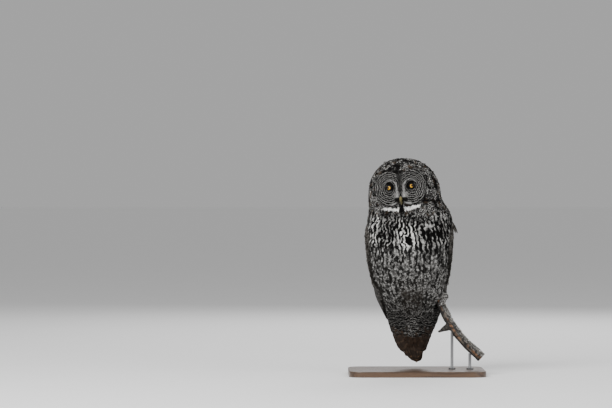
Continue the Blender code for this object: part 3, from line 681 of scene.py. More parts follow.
@dataclass(frozen=True)
class EyeFinish(Finish):
    """A yellow iris with a black pupil under a wet cornea."""

    pupil: float = 0.31
    iris: float = 0.61
    cornea_index: float = 1.34

    def cover(self, paint: Paint) -> None:
        """Paint the surface."""
        x, y = ((part - 0.5) * 2.0 for part in paint.map_place("Gaze"))
        reach = x.distance(y)
        spokes = paint.noise(1.6, 3.0, 0.6, (y.angle_from(x) * 6.0, reach * 2.5, 0.0))
        colour = paint.layered(
            (0.780, 0.330, 0.012),
            (spokes.rise(0.30, 0.70), (0.940, 0.600, 0.045)),
            (reach.rise(self.iris - 0.16, self.iris - 0.01) * 0.75, (0.250, 0.095, 0.008)),
            (reach.fall(self.pupil, self.pupil + 0.06) * 0.6, (0.220, 0.080, 0.008)),
            (reach.fall(self.pupil - 0.015, self.pupil + 0.015), (0.003, 0.003, 0.003)),
            (reach.rise(self.iris - 0.01, self.iris + 0.03), (0.012, 0.009, 0.008)),
        )
        paint.finish(
            colour, 0.32 + spokes * 0.12, Specular_IOR_Level=0.0, Coat_Weight=1.0, Coat_Roughness=0.03,
            Coat_IOR=self.cornea_index,
        )


@dataclass(frozen=True)
class LidFinish(Finish):
    """Dark bare rims, greyer and finely feathered further out."""

    def cover(self, paint: Paint) -> None:
        """Paint the surface."""
        fleck = paint.noise(700.0, 3.0, 0.6)
        grey = fleck.rise(0.46, 0.66) * paint.noise(190.0).rise(0.35, 0.65)
        colour = paint.mix(grey, Palette.BLACK, (0.020, 0.019, 0.018))
        normal = paint.bump(fleck, 0.4, 0.0003)
        paint.finish(colour, 0.55 + fleck * 0.30, normal, Specular_IOR_Level=0.20)


def horn_growth() -> NodeTree:
    """Build the growth lines that bill and claws share.

    Returns:
        The node group.
    """
    effect = Effect("horn_growth", {"Along": 0.0}, {"Mask": "Float", "Height": "Float"})
    cloud = effect.noise(320.0, 3.0, 0.6)
    rings = (effect.inputs[0] * 9.0 + cloud * 1.4).wave() * 0.5 + 0.5
    return effect.put(Mask=cloud.rise(0.32, 0.70), Height=rings * 0.4 + cloud * 0.6)


@dataclass(frozen=True)
class HornFinish(Finish):
    """Smooth horn that changes colour from root to tip; on the bill the dark tip is painted shade."""

    root: Colour
    tip: Colour
    roughness: float
    growth: NodeTree

    def cover(self, paint: Paint) -> None:
        """Paint the surface."""
        along = paint.attribute("along")
        growth = paint.group(self.growth, {"Along": along})
        bright = paint.mix(along.rise(0.15, 0.85), self.root, self.tip)
        colour = paint.mix(growth["Mask"], paint.scaled(bright, 0.62), bright)
        normal = paint.bump(growth["Height"], 0.3, 0.0002)
        paint.finish(colour, self.roughness + growth["Mask"] * 0.12, normal)


@dataclass(frozen=True)
class BarkFinish(Finish):
    """Grey-brown bark with rusty streaks, paler and mottled on top, and pale sawn ends."""

    def cover(self, paint: Paint) -> None:
        """Paint the surface."""
        across, beside, along = paint.parts(paint.attribute("straight", "Vector"))
        stretched = (across * 3.0, beside * 3.0, along * 0.55)
        furrows = paint.noise(70.0, 4.0, 0.6, stretched)
        fine = paint.noise(260.0, 3.0, 0.6, stretched)
        speckle = paint.noise(240.0, 3.0, 0.6)
        cloud = paint.noise(60.0)
        reach = across.distance(beside)
        upper = (0.0 - across) / reach
        drift = paint.noise(34.0, 1.0, at=(across * 0.4, beside * 0.4, along)) - 0.5
        patches = paint.noise(70.0, at=(across, beside, along * 0.5)).rise(0.42, 0.56)
        rust = (upper + drift * 1.3).band(-0.34, 0.16, 0.16) * fine.rise(0.34, 0.54) * patches
        mottle = (upper + cloud * 1.2).rise(0.30, 1.10) * speckle.rise(0.46, 0.56)
        frost = (upper + (cloud - 0.5) * 0.9 + (speckle - 0.5) * 1.1).rise(0.90, 1.02)
        rings = (reach * 620.0 + cloud * 2.0).wave().rise(-0.20, 0.80)
        wood = paint.layered(
            (0.330, 0.235, 0.140),
            (rings, (0.460, 0.350, 0.225)),
            (reach.rise(0.0115, 0.0135), (0.060, 0.042, 0.028)),
        )
        colour = paint.layered(
            (0.008, 0.0068, 0.0056),
            (furrows.rise(0.44, 0.62), (0.110, 0.093, 0.075)),
            (rust * 0.80, (0.230, 0.110, 0.052)),
            (mottle * 0.70, (0.230, 0.226, 0.216)),
            (paint.noise(95.0).rise(0.53, 0.59) * 0.85, (0.008, 0.0070, 0.0062)),
            (frost * reach.fall(0.019, 0.022) * 0.85, (0.760, 0.760, 0.750)),
            # painted shade: the underside of the branch is darkened
            (upper.fall(-0.85, -0.45) * 0.60, (0.011, 0.009, 0.008)),
            (paint.attribute("sawn").rise(0.35, 0.65), wood),
        )
        normal = paint.bump(furrows * 0.8 + fine * 0.5 + speckle * 0.4, 0.6, 0.0012)
        paint.finish(colour, 0.88, normal)


@dataclass(frozen=True)
class WoodFinish(Finish):
    """Dark walnut with a satin varnish, grain along the base."""

    def cover(self, paint: Paint) -> None:
        """Paint the surface."""
        x, y, z = paint.parts(paint.place)
        waves = paint.noise(22.0, 3.0, 0.55, (x * 0.10, y, z))
        lines = (y * 60.0 + waves * 5.0).wave() * 0.5 + 0.5
        pores = paint.noise(900.0, at=(x * 0.06, y, z)).rise(0.56, 0.68)
        colour = paint.layered(
            (0.042, 0.022, 0.012),
            (lines * 0.6 + waves * 0.4, (0.120, 0.066, 0.035)),
            (pores * 0.55, (0.018, 0.010, 0.006)),
        )
        rough = 0.34 + pores * 0.25 + waves * 0.08
        normal = paint.bump(pores, 0.35, -0.0003)
        paint.finish(colour, rough, normal, Coat_Weight=0.25, Coat_Roughness=0.22)


@dataclass(frozen=True)
class SteelFinish(Finish):
    """Steel brushed round the rods."""

    def cover(self, paint: Paint) -> None:
        """Paint the surface."""
        x, y, z = paint.parts(paint.place)
        brush = paint.noise(900.0, 3.0, 0.7, (x * 0.2, y * 0.2, z * 6.0))
        colour = paint.mix(brush, (0.180, 0.180, 0.184), (0.280, 0.280, 0.285))
        rough = 0.30 + brush * 0.14 + paint.noise(70.0) * 0.10
        paint.finish(colour, rough, paint.bump(brush, 0.2, 0.0001), Metallic=1.0)


def placed(name: str, data: bpy.types.ID) -> bpy.types.Object:
    """Put an object in the scene.

    Args:
        name: Its name.
        data: Its mesh, camera or light.

    Returns:
        The object.
    """
    thing = bpy.data.objects.new(name, data)
    bpy.context.scene.collection.objects.link(thing)
    return thing


def add_piece(
    mesh: Mesh, material: Material, replaced: tuple[str, ...] = ()
) -> bpy.types.Object:
    """Put a mesh in the scene as a piece that rides on the body.

    Args:
        mesh: Its finished mesh, in place and under the piece's name.
        material: Its one material.
        replaced: CAD nodes that it stands for.

    Returns:
        The piece.
    """
    piece = placed(mesh.name, mesh)
    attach(piece, BODY)
    mesh.materials.clear()
    mesh.materials.append(material)
    if replaced:
        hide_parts(*replaced)
    log.info("%s: %d faces", piece.name, len(mesh.polygons))
    return piece


def mesh_from(bm: BMesh, name: str, sharp: float = 40.0) -> Mesh:
    """Turn a bmesh into a smooth-shaded mesh with its normals outward."""
    bmesh.ops.recalc_face_normals(bm, faces=bm.faces)
    mesh = bpy.data.meshes.new(name)
    bm.to_mesh(mesh)
    bm.free()
    mesh.shade_smooth()
    mesh.set_sharp_from_angle(angle=math.radians(sharp))
    return mesh


def merged_copy(nodes: tuple[str, ...], fatter: float = 0.0) -> BMesh:
    """Join copies of CAD nodes, with their loose triangles merged.

    Args:
        nodes: Names of the nodes.
        fatter: How far each surface is moved outward, which closes the gaps between nodes.

    Returns:
        The joined copies.
    """
    bm = bmesh.new()
    for name in nodes:
        bm.from_mesh(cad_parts[name].data)
    bmesh.ops.remove_doubles(bm, verts=bm.verts, dist=1e-6)
    bmesh.ops.recalc_face_normals(bm, faces=bm.faces)
    bm.normal_update()
    for vert in bm.verts:
        vert.co += vert.normal * fatter
    return bm


def remeshed(bm: BMesh, name: str, voxel: float) -> BMesh:
    """Draw one even surface round a bmesh.

    Args:
        bm: Closed shapes, which are used up.
        name: Name of the passing object that carries them.
        voxel: Size of the surface's faces.

    Returns:
        The surface.
    """
    rough = bpy.data.meshes.new(name)
    bm.to_mesh(rough)
    bm.free()
    carrier = placed(name, rough)
    remesh = carrier.modifiers.new("even", "REMESH")
    remesh.mode = "VOXEL"
    remesh.voxel_size = voxel
    remesh.adaptivity = 0.0
    view = bpy.context.evaluated_depsgraph_get()
    view.update()
    even = bmesh.new()
    even.from_object(carrier, view)
    bpy.data.objects.remove(carrier, do_unlink=True)
    bpy.data.meshes.remove(rough)
    return even


def smoothed(bm: BMesh, verts: object) -> None:
    """Smooth points once."""
    bmesh.ops.smooth_vert(bm, verts=verts, factor=0.5, use_axis_x=True, use_axis_y=True, use_axis_z=True)


def mapped_wall(
    segments: int, rings: int, capped: bool, place: Callable[[float, float, float], Vector]
) -> BMesh:
    """Shape the wall of a cylinder by a rule.

    Args:
        segments: Number of faces round it.
        rings: Number of rings of points along it.
        capped: Whether its ends are closed.
        place: Gives a point from its two places on the unit circle and its share of the length.

    Returns:
        The shaped wall.
    """
    bm = bmesh.new()
    bmesh.ops.create_cone(
        bm, cap_ends=capped, segments=segments, radius1=1.0, radius2=1.0, depth=1.0,
        matrix=Matrix.Translation((0.0, 0.0, 0.5)),
    )
    long_edges = [edge for edge in bm.edges if abs(edge.verts[0].co.z - edge.verts[1].co.z) > 0.5]
    bmesh.ops.subdivide_edges(bm, edges=long_edges, cuts=rings - 2)
    for vert in bm.verts:
        vert.co = place(*vert.co)
    return bm


def ease(values: Array, low: float, high: float) -> Array:
    """Ease values from 0 at the low one to 1 at the high one."""
    share = np.clip((values - low) / (high - low), 0.0, 1.0)
    return share * share * (3.0 - 2.0 * share)


def unit(vectors: Array) -> Array:
    """Scale vectors to length 1."""
    return vectors / np.maximum(np.linalg.norm(vectors, axis=-1, keepdims=True), 1e-9)


def along_surface(directions: Array, normals: Array) -> Array:
    """Lay directions flat on a surface."""
    return unit(directions - normals * np.sum(directions * normals, axis=-1, keepdims=True))


class Hull:
    def __init__(self, mesh: Mesh) -> None:
        """Read a closed surface."""
        mesh.calc_loop_triangles()
        self.points, self.normals = np.empty((2, len(mesh.vertices), 3))
        mesh.vertices.foreach_get("co", self.points.ravel())
        mesh.vertices.foreach_get("normal", self.normals.ravel())
        self.corners = np.empty((len(mesh.loop_triangles), 3), dtype=np.int32)
        mesh.loop_triangles.foreach_get("vertices", self.corners.ravel())
        self.tree = BVHTree.FromPolygons(self.points.tolist(), self.corners.tolist())

    def face_normals(self, faces: Array) -> Array:
        """Give the mean of the corner normals of faces."""
        return unit(self.normals[self.corners[faces]].mean(axis=1))

    def settle(self, points: Array) -> tuple[Array, Array]:
        """Move points to the surface.

        Args:
            points: Points near the surface.

        Returns:
            The nearest places on it, and its normals there.
        """
        places = np.empty_like(points)
        faces = np.empty(len(points), dtype=np.int64)
        for index, point in enumerate(points.tolist()):
            place, _, face, _ = self.tree.find_nearest(point)
            places[index] = place
            faces[index] = face
        return places, self.face_normals(faces)

    def scatter(
        self, rng: np.random.Generator, density: float, low: float, high: float
    ) -> tuple[Array, Array]:
        """Throw points on the surface between two heights.

        Args:
            rng: Source of chance.
            density: Points for each square metre.
            low: Lowest height.
            high: Highest height.

        Returns:
            The points and the normals there.
        """
        corners = self.points[self.corners]
        sides = corners[:, 1:] - corners[:, :1]
        areas = np.linalg.norm(np.cross(sides[:, 0], sides[:, 1]), axis=1) / 2.0
        heights = corners[:, :, 2].mean(axis=1)
        areas = np.where((heights >= low) & (heights < high), areas, 0.0)
        count = int(areas.sum() * density)
        faces = rng.choice(len(areas), size=count, p=areas / areas.sum())
        first, second = rng.random((2, count))
        folded = first + second > 1.0
        first = np.where(folded, 1.0 - first, first)[:, None]
        second = np.where(folded, 1.0 - second, second)[:, None]
        spots = corners[faces]
        points = spots[:, 0] + (spots[:, 1] - spots[:, 0]) * first + (spots[:, 2] - spots[:, 0]) * second
        return points, self.face_normals(faces)

    def hit(self, start: Vector, direction: Vector, middle: Vector) -> tuple[Vector, Vector]:
        """Find where a ray first meets the surface, or else the place nearest to a middle."""
        place, _, face, _ = self.tree.ray_cast(start, direction)
        if place is None:
            place, _, face, _ = self.tree.find_nearest(middle)
        return place, Vector(self.face_normals(np.array([face]))[0])

    def at(self, height: float, degrees: float) -> tuple[Vector, Vector]:
        """Find the surface at a height and an angle round the body from the breast."""
        turn = math.radians(degrees)
        ray = Vector((math.sin(turn), -math.cos(turn), 0.0))
        middle = Vector((*axis_at(height), height))
        return self.hit(middle + ray * 0.4, -ray, middle)

    def open_air(self, points: Array, normals: Array, reach: float) -> Array:
        """Say of points whether nothing of the surface stands over them within a reach."""
        free = np.empty(len(points), dtype=bool)
        starts = (points + normals * 0.004).tolist()
        for index, (start, normal) in enumerate(zip(starts, normals.tolist())):
            free[index] = self.tree.ray_cast(start, normal, reach)[0] is None
        return free


def axis_at(heights: Array | float) -> Array:
    """Give the two places of the body's middle line at heights."""
    return np.array([np.interp(heights, AXIS_Z, AXIS_X), np.interp(heights, AXIS_Z, AXIS_Y)])


def body_angle(points: Array) -> Array:
    """Measure degrees round the body from the breast, positive on the owl's left."""
    x, y = points.T[:2] - axis_at(points[:, 2])
    return np.degrees(np.arctan2(x, -y))


def wing_lead(heights: Array, on_right: Array) -> Array:
    """Give the angle of a wing's leading edge at some heights, 180 where there is no wing."""
    lead = np.interp(heights, WING_Z, WING_LEAD, left=180.0, right=180.0)
    droop = np.exp(-(((heights - RIGHT_WING_HEIGHT) / RIGHT_WING_SPAN) ** 2))
    return lead - np.where(on_right, RIGHT_WING_FORWARD, 0.0) * droop


def unwrap_place(points: Array) -> Array:
    """Unwrap points of the skin on a cylinder with a domed top.

    Args:
        points: The points.

    Returns:
        Their places in the map.
    """
    dome_foot, dome_from = 0.575, 0.84
    height = points[:, 2]
    climb = np.degrees(np.arctan2(height - dome_foot, np.hypot(*(points.T[:2] - axis_at(height)))))
    high = dome_from + climb / 90.0 * (1.0 - dome_from)
    v = np.where(height > dome_foot, high, height / dome_foot * dome_from)
    u = 0.5 + body_angle(points) / 360.0
    return 0.003 + 0.994 * np.stack([u, v], axis=1)


@dataclass(frozen=True)
class Template:
    """Points and faces of one feather in its own space."""

    points: Array
    loops: Array
    sizes: Array

    @staticmethod
    def read(bm: BMesh) -> "Template":
        """Read a bmesh, and free it."""
        bmesh.ops.recalc_face_normals(bm, faces=bm.faces)
        bm.verts.index_update()
        points = np.array([tuple(vert.co) for vert in bm.verts])
        loops = np.array([vert.index for face in bm.faces for vert in face.verts])
        sizes = np.array([len(face.verts) for face in bm.faces])
        bm.free()
        return Template(points, loops, sizes)


@dataclass(frozen=True)
class VaneShape:
    """A small feather: a thin lens along its shaft, with loose barbs beside it."""

    rings: int
    barbs: int
    ridge: float = 0.11
    cup: float = 0.14
    root_width: float = 0.25
    tip_power: float = 4.5
    crowding: float = 1.6
    barb_reach: float = 0.50
    barb_run: float = 0.18
    barb_half: float = 0.014

    def width(self, along: float) -> float:
        """Give the share of the full width at a share of the length."""
        grown = self.root_width + (1.0 - self.root_width) * min(along / 0.45, 1.0) ** 0.8
        return grown * max(1.0 - along**self.tip_power, 0.0) ** 0.5 + 0.02

    def place(self, x: float, y: float, along: float) -> Vector:
        """Place a point of the lens: across -1 to 1, along 0 to 1, and its height."""
        along = 1.0 - (1.0 - along) ** self.crowding
        if y > 0.5:
            return Vector((0.0, along, self.ridge * (1.0 - 0.5 * along)))
        width = self.width(along)
        return Vector((math.copysign(width, x), along, -self.cup * width * width))

    def barb_place(self, corner: Vector, root: Vector, tip: Vector) -> Vector:
        """Place a point of a barb, whose own corner is on a unit cone."""
        if corner.z > 0.0:
            return tip
        if corner.y > 0.5:
            return root + Vector((0.0, 0.0, 0.06))
        return root + Vector((0.0, math.copysign(self.barb_half, corner.x), -0.03))

    def template(self, seed: int) -> Template:
        """Build one feather, its barbs spread by the seed."""
        rng = np.random.default_rng(seed)
        bm = mapped_wall(3, self.rings, True, self.place)
        for number in range(self.barbs):
            side = 1.0 if number % 2 else -1.0
            start = 0.36 + 0.62 * (number // 2 + rng.random() * 0.6) / max(self.barbs // 2, 1)
            inner = self.width(min(start, 0.94)) * rng.uniform(0.15 if start > 0.85 else 0.50, 0.80)
            outer = inner + self.barb_reach * rng.uniform(0.55, 1.15) * (1.15 - 0.80 * start)
            run = self.barb_run * rng.uniform(0.7, 1.3)
            root = Vector((side * inner, start, -self.cup * inner * inner))
            tip = Vector((side * outer, start + run, rng.uniform(-0.16, 0.10)))
            barb = bmesh.ops.create_cone(bm, cap_ends=True, segments=3, radius1=1.0, radius2=0.0, depth=1.0)
            for vert in barb["verts"]:
                vert.co = self.barb_place(vert.co, root, tip)
        return Template.read(bm)


@dataclass(frozen=True)
class FlightShape:
    """A long feather: a flat vane with a raised shaft, small notches and a blunt tip."""

    rings: int = 34
    sides: int = 12
    thickness: float = 0.030
    shaft: float = 0.055
    cup: float = 0.12
    root_width: float = 0.55
    tip_power: float = 9.0
    notch: float = 0.09

    def width(self, along: float) -> float:
        """Give the share of the full width at a share of the length."""
        grown = self.root_width + (1.0 - self.root_width) * min(along / 0.35, 1.0)
        return grown * max(1.0 - along**self.tip_power, 0.0) ** 0.5 + 0.03

    def template(self, seed: int) -> Template:
        """Build one feather, its notches chosen by the seed."""
        notches = np.random.default_rng(seed).uniform(0.0, self.notch, size=(2, self.rings))

        def place(x: float, y: float, along: float) -> Vector:
            """Place a point of the vane."""
            ring = int(round(along * (self.rings - 1)))
            eased = 1.0 - (1.0 - along) ** 1.25
            cut = notches[int(x > 0.0), ring] * abs(x) ** 3
            width = self.width(eased) * (1.0 - cut)
            spine = self.shaft * math.exp(-((x / 0.22) ** 2)) * (1.0 - 0.6 * along)
            high = self.thickness * y + (spine if y > 0.0 else 0.0)
            return Vector((x * width, eased - 0.4 * cut, high - self.cup * x * x * width))

        return Template.read(mapped_wall(self.sides, self.rings, True, place))


@dataclass(frozen=True)
class TractSizes:
    """Sizes of the feathers of one tract, and the heights between which it is looked for."""

    spacing: float
    length: float
    half_width: float
    root_depth: float
    tip_depth: float
    shape: VaneShape
    heights: tuple[float, float] = (0.100, 0.530)


HEAD_HEIGHTS = (0.490, 0.700)
ANY_HEIGHT = (0.0, 1.0)


class Tract(Enum):
    """Stretches of plumage. The last two do not lie on the outline."""

    FACE = TractSizes(0.0020, 0.0100, 0.0012, 0.0026, -0.0004, VaneShape(4, 4), HEAD_HEIGHTS)
    BROW = TractSizes(0.0016, 0.0120, 0.0008, 0.0028, -0.0020, VaneShape(4, 4), HEAD_HEIGHTS)
    LORE = TractSizes(0.0017, 0.0135, 0.0007, 0.0028, -0.0034, VaneShape(4, 4), HEAD_HEIGHTS)
    RUFF = TractSizes(0.0022, 0.0095, 0.0018, 0.0028, -0.0014, VaneShape(4, 4), HEAD_HEIGHTS)
    THROAT = TractSizes(0.0022, 0.0150, 0.0018, 0.0036, -0.0016, VaneShape(5, 12), HEAD_HEIGHTS)
    CROWN = TractSizes(0.0038, 0.0180, 0.0038, 0.0048, -0.0004, VaneShape(5, 8), HEAD_HEIGHTS)
    BREAST = TractSizes(0.0043, 0.0350, 0.0048, 0.0066, -0.0005, VaneShape(6, 24))
    BELLY = TractSizes(0.0046, 0.0340, 0.0054, 0.0066, -0.0005, VaneShape(6, 22))
    UNDERTAIL = TractSizes(0.0048, 0.0330, 0.0064, 0.0058, -0.0006, VaneShape(6, 18))
    BACK = TractSizes(0.0062, 0.0380, 0.0098, 0.0062, -0.0006, VaneShape(7, 18))
    COVERTS = TractSizes(0.0062, 0.0300, 0.0088, 0.0060, -0.0010, VaneShape(7, 16))
    FOOT = TractSizes(0.0022, 0.0080, 0.0014, 0.0006, -0.0012, VaneShape(4, 2), ANY_HEIGHT)
    LID = TractSizes(0.0011, 0.0046, 0.0006, 0.0000, -0.0005, VaneShape(4, 0), ANY_HEIGHT)


@dataclass
class Plumes:
    """A batch of feathers: their lines, widths, map places and random shares."""

    lines: Array
    normals: Array
    half_widths: Array
    roots: Array
    chances: Array

    def pick(self, chosen: Array | slice) -> "Plumes":
        """Take some of the feathers."""
        return Plumes(*(part[chosen] for part in vars(self).values()))

    def spread(self, template: Template) -> Array:
        """Lay a template along every line.

        Args:
            template: One feather in its own space.

        Returns:
            Points, as feathers by template points by three.
        """
        stations = self.lines.shape[1]
        across, along, high = template.points.T
        knot = np.clip(np.floor(along * (stations - 1)).astype(int), 0, stations - 2)
        share = (along * (stations - 1) - knot)[None, :, None]
        start = self.lines[:, knot]
        run = self.lines[:, knot + 1] - start
        up = self.normals[:, knot]
        up = up + (self.normals[:, knot + 1] - up) * np.minimum(share, 1.0)
        side = unit(np.cross(run, up))
        up = unit(np.cross(side, run))
        scale = self.half_widths[:, None, None]
        return start + run * share + (side * across[None, :, None] + up * high[None, :, None]) * scale


class Coat:
    """Joins batches of feathers into one piece."""

    PATCH = 0.003

    def __init__(self, name: str) -> None:
        """Name the piece."""
        self.name = name
        self.batches: list[tuple[Array, ...]] = []
        self.count = 0

    def add(self, plumes: Plumes, template: Template, cell: tuple[float, float] = (PATCH, PATCH)) -> None:
        """Add a batch.

        Args:
            plumes: The feathers.
            template: The shape that they share.
            cell: Width and height of each feather's patch in the bake map.
        """
        number = len(plumes.lines)
        if number == 0:
            return
        size = len(template.points)
        vane = np.stack([0.5 + 0.5 * template.points[:, 0], template.points[:, 1]], axis=1)
        patch = (np.clip(vane, 0.0, 1.0) - 0.5) * np.array(cell)
        bake = plumes.roots[:, None, :] + patch[None, :, :]
        starts = self.count + np.arange(number)[:, None] * size
        self.batches.append((
            plumes.spread(template).reshape(-1, 3),
            (starts + template.loops).ravel(),
            np.tile(template.sizes, number),
            np.tile(vane[template.loops], (number, 1)),
            bake[:, template.loops].reshape(-1, 2),
            np.repeat(plumes.chances, size),
        ))
        self.count += number * size

    def add_varied(self, plumes: Plumes, shape: VaneShape, seed: int, kinds: int = 5) -> None:
        """Add a batch whose feathers take turns among a few templates of one shape."""
        for kind in range(kinds):
            self.add(plumes.pick(slice(kind, None, kinds)), shape.template(seed + kind))

    def piece(self, slot: str, material: Material) -> None:
        """Make the mesh and put it in the scene.

        Args:
            slot: Not used.
            material: Its one material.
        """
        mesh = bpy.data.meshes.new(self.name)
        points, loops, sizes, vane, bake, chances = (np.concatenate(part) for part in zip(*self.batches))
        mesh.vertices.add(len(points))
        mesh.vertices.foreach_set("co", points.astype(np.float32).ravel())
        mesh.loops.add(len(loops))
        mesh.loops.foreach_set("vertex_index", loops.astype(np.int32))
        mesh.polygons.add(len(sizes))
        mesh.polygons.foreach_set("loop_start", (np.cumsum(sizes) - sizes).astype(np.int32))
        mesh.update(calc_edges=True)
        for key, values in (("Vane", vane), ("OFBake", bake)):
            layer = mesh.uv_layers.new(name=key)
            layer.uv.foreach_set("vector", values.astype(np.float32).ravel())
        chance = mesh.attributes.new("chance", "FLOAT", "POINT")
        chance.data.foreach_set("value", chances.astype(np.float32))
        mesh.shade_smooth()
        mesh.set_sharp_from_angle(angle=math.radians(55.0))
        add_piece(mesh, material)


def thinned(points: Array, spacing: float) -> Array:
    """Pick points, in their own order, that keep a distance from those picked before."""
    kept: dict[tuple[int, int, int], list[tuple[float, float, float]]] = {}
    chosen = []
    limit = spacing * spacing
    steps = [(a, b, c) for a in (-1, 0, 1) for b in (-1, 0, 1) for c in (-1, 0, 1)]
    cells = np.floor(points / spacing).astype(int).tolist()
    for index, (cell, point) in enumerate(zip(cells, points.tolist())):
        others = [
            other for a, b, c in steps
            for other in kept.get((cell[0] + a, cell[1] + b, cell[2] + c), ())
        ]
        if all((point[0] - x) ** 2 + (point[1] - y) ** 2 + (point[2] - z) ** 2 > limit for x, y, z in others):
            kept.setdefault(tuple(cell), []).append(tuple(point))
            chosen.append(index)
    return np.array(chosen, dtype=int)


class Plumage:
    """Lays every small feather of the owl over its outline."""

    STATIONS = 5
    CANDIDATES = 4.0

    def __init__(self, hull: Hull, perch: Hull, seed: int = 7) -> None:
        """Take the outline, the perch to keep clear of, and a seed."""
        self.hull = hull
        self.perch = perch
        self.rng = np.random.default_rng(seed)

    def tract_of(self, points: Array) -> Array:
        """Say which tract points of the outline belong to, or nothing where no small feather grows."""
        across, into, up = FACE.local(points)
        side = np.abs(across)
        reach = FACE.reach(across, up)
        height = points[:, 2]
        angle = np.abs(body_angle(points))
        front = into < FACE.depth
        trail = np.interp(height, WING_Z, WING_TRAIL)
        wing = (angle > wing_lead(height, points[:, 0] < AXIS_X[4])) & (angle < trail)
        names = np.full(len(points), "BELLY", dtype="<U10")
        names[height > BREAST_HEIGHT] = "BREAST"
        names[height < COVERTS_HEIGHT] = "UNDERTAIL"
        names[angle > 110.0] = "BACK"
        names[wing] = "COVERTS"
        names[(angle > 80.0) & (height > 0.470)] = "BACK"
        names[height > NAPE_HEIGHT + 0.16 * np.clip(0.14 - angle / 360.0, 0.0, 0.10)] = "CROWN"
        names[front & (up < -0.052) & (up > -0.086) & (side < 0.066)] = "THROAT"
        names[front & (reach < 1.10) & (up > -0.066)] = "RUFF"
        names[front & (reach < 1.00)] = "FACE"
        inner = FACE.eye_spacing / 2.0 - side
        names[front & self.on_brow(inner, up)] = "BROW"
        names[front & (side < 0.024) & (up < -0.018) & (up > -0.054)] = "LORE"
        eye = np.hypot(side - FACE.eye_spacing / 2.0, up)
        names[front & (eye < 0.0108)] = ""
        names[front & (side < np.where(up > -0.040, 0.0026, 0.0046)) & (up < -0.030) & (up > -0.058)] = ""
        names[height < TAIL_HEIGHT - 0.004] = ""
        flight = wing & (height < 0.326 + 0.012 * np.sin(angle * 0.35))
        names[flight] = ""
        return names

    def on_brow(self, inner: Array, up: Array) -> Array:
        """Say where the pale crescents between the eyes are."""
        arc = (np.abs(np.hypot(inner - 0.002, up) - 0.0225) < 0.0040) & (inner > -0.010) & (up > -0.012)
        limb = (np.abs(FACE.eye_spacing / 2.0 - inner - 0.0115) < 0.0036) & (up < -0.008) & (up > -0.020)
        return arc | limb

    def body_lie(self, points: Array, normals: Array) -> Array:
        """Give the lie of the plumage off the face: down the body, and back and down over the head."""
        spread = np.sin(np.radians(body_angle(points)))
        down = np.stack([0.10 * spread, 0.16 * np.abs(spread), np.full(len(points), -1.0)], axis=1)
        away = unit(points - np.array(FACE.world(0.0, 0.030, 0.0))) + np.array([0.0, 0.25, -0.55])
        share = ease(points[:, 2], 0.500, 0.548)[:, None]
        return along_surface(down * (1.0 - share) + away * share, normals)

    def face_lie(self, across: Array, up: Array) -> Array:
        """Give the lie of the plumage on the face, in the face's own frame."""
        nothing = np.zeros_like(up)
        sign = np.sign(across)
        side = np.abs(across) - FACE.eye_spacing / 2.0
        lie = unit(np.stack([sign * side, nothing, up], axis=1))
        upward = np.stack([0.25 * sign, nothing, np.ones_like(up)], axis=1)
        middle = (1.0 - ease(np.abs(across), 0.004, 0.016)) * ease(up, -0.022, -0.008)
        lie = lie * (1.0 - middle[:, None]) + upward * middle[:, None]
        droop = np.stack([sign * (0.35 + 10.0 * np.abs(across)), nothing, np.full_like(up, -1.0)], axis=1)
        lore = (np.abs(across) < 0.026) & (up < -0.016)
        lie = np.where(lore[:, None], droop, lie)
        outward = unit(np.stack([sign * (side + 0.002), nothing, up], axis=1))
        around = unit(np.stack([sign * up, nothing, -side - 0.002], axis=1))
        return np.where(self.on_brow(-side, up)[:, None], around + 0.35 * outward, lie)

    def flow(self, points: Array, normals: Array) -> Array:
        """Give the lie of the plumage at points of the outline."""
        across, into, up = FACE.local(points)
        on_face = along_surface(self.face_lie(across, up) @ np.array(FACE.matrix).T, normals)
        face = (into < FACE.depth) & (FACE.reach(across, up) < 1.04)
        return np.where(face[:, None], on_face, self.body_lie(points, normals))

    def grow(self, points: Array, normals: Array, tract: Tract, hull: Hull) -> Plumes:
        """Draw the line of a feather from each root.

        Args:
            points: Roots.
            normals: The surface's normals there.
            tract: The tract that they belong to.
            hull: The surface that the feathers lie on.

        Returns:
            The feathers.
        """
        sizes_of = tract.value
        number = len(points)
        sizes = self.rng.uniform(0.85, 1.15, number)
        if tract is Tract.BREAST:
            sizes *= 0.70 + 0.30 * ease(0.500 - points[:, 2], 0.0, 0.09)
        if tract is Tract.COVERTS:
            sizes *= 0.80 + 0.45 * ease(0.440 - points[:, 2], 0.0, 0.10)
        yaw = self.rng.normal(0.0, 0.10, number)[:, None]
        lift = self.rng.exponential(0.0005, number) - 0.0003
        step = sizes_of.length * sizes / (self.STATIONS - 1)
        places = points.copy()
        ups = normals.copy()
        lines = np.empty((number, self.STATIONS, 3))
        frames = np.empty((number, self.STATIONS, 3))
        for station in range(self.STATIONS):
            share = station / (self.STATIONS - 1)
            rise = (sizes_of.root_depth - sizes_of.tip_depth) * (1.0 - share) ** 1.3
            lines[:, station] = places - ups * (sizes_of.tip_depth + rise - lift * share)[:, None]
            frames[:, station] = ups
            if station < self.STATIONS - 1:
                lie = self.flow(places, ups)
                lie = unit(lie + np.cross(ups, lie) * yaw)
                places, ups = hull.settle(places + lie * step[:, None])
        half_widths = sizes_of.half_width * sizes * self.rng.uniform(0.9, 1.1, number)
        return Plumes(lines, frames, half_widths, unwrap_place(points), self.rng.random(number))

    def clear_of_perch(self, plumes: Plumes) -> Plumes:
        """Drop the feathers whose lines run into the perch."""
        low = self.perch.points.min(axis=0) - 0.004
        high = self.perch.points.max(axis=0) + 0.004
        near = np.any(np.all((plumes.lines > low) & (plumes.lines < high), axis=2), axis=1)
        keep = np.ones(len(near), dtype=bool)
        for index in np.nonzero(near)[0]:
            for point in plumes.lines[index].tolist():
                place, normal, _, distance = self.perch.tree.find_nearest(point)
                if distance < 0.0015 or (Vector(point) - place).dot(normal) < 0.0:
                    keep[index] = False
                    break
        return plumes.pick(keep)

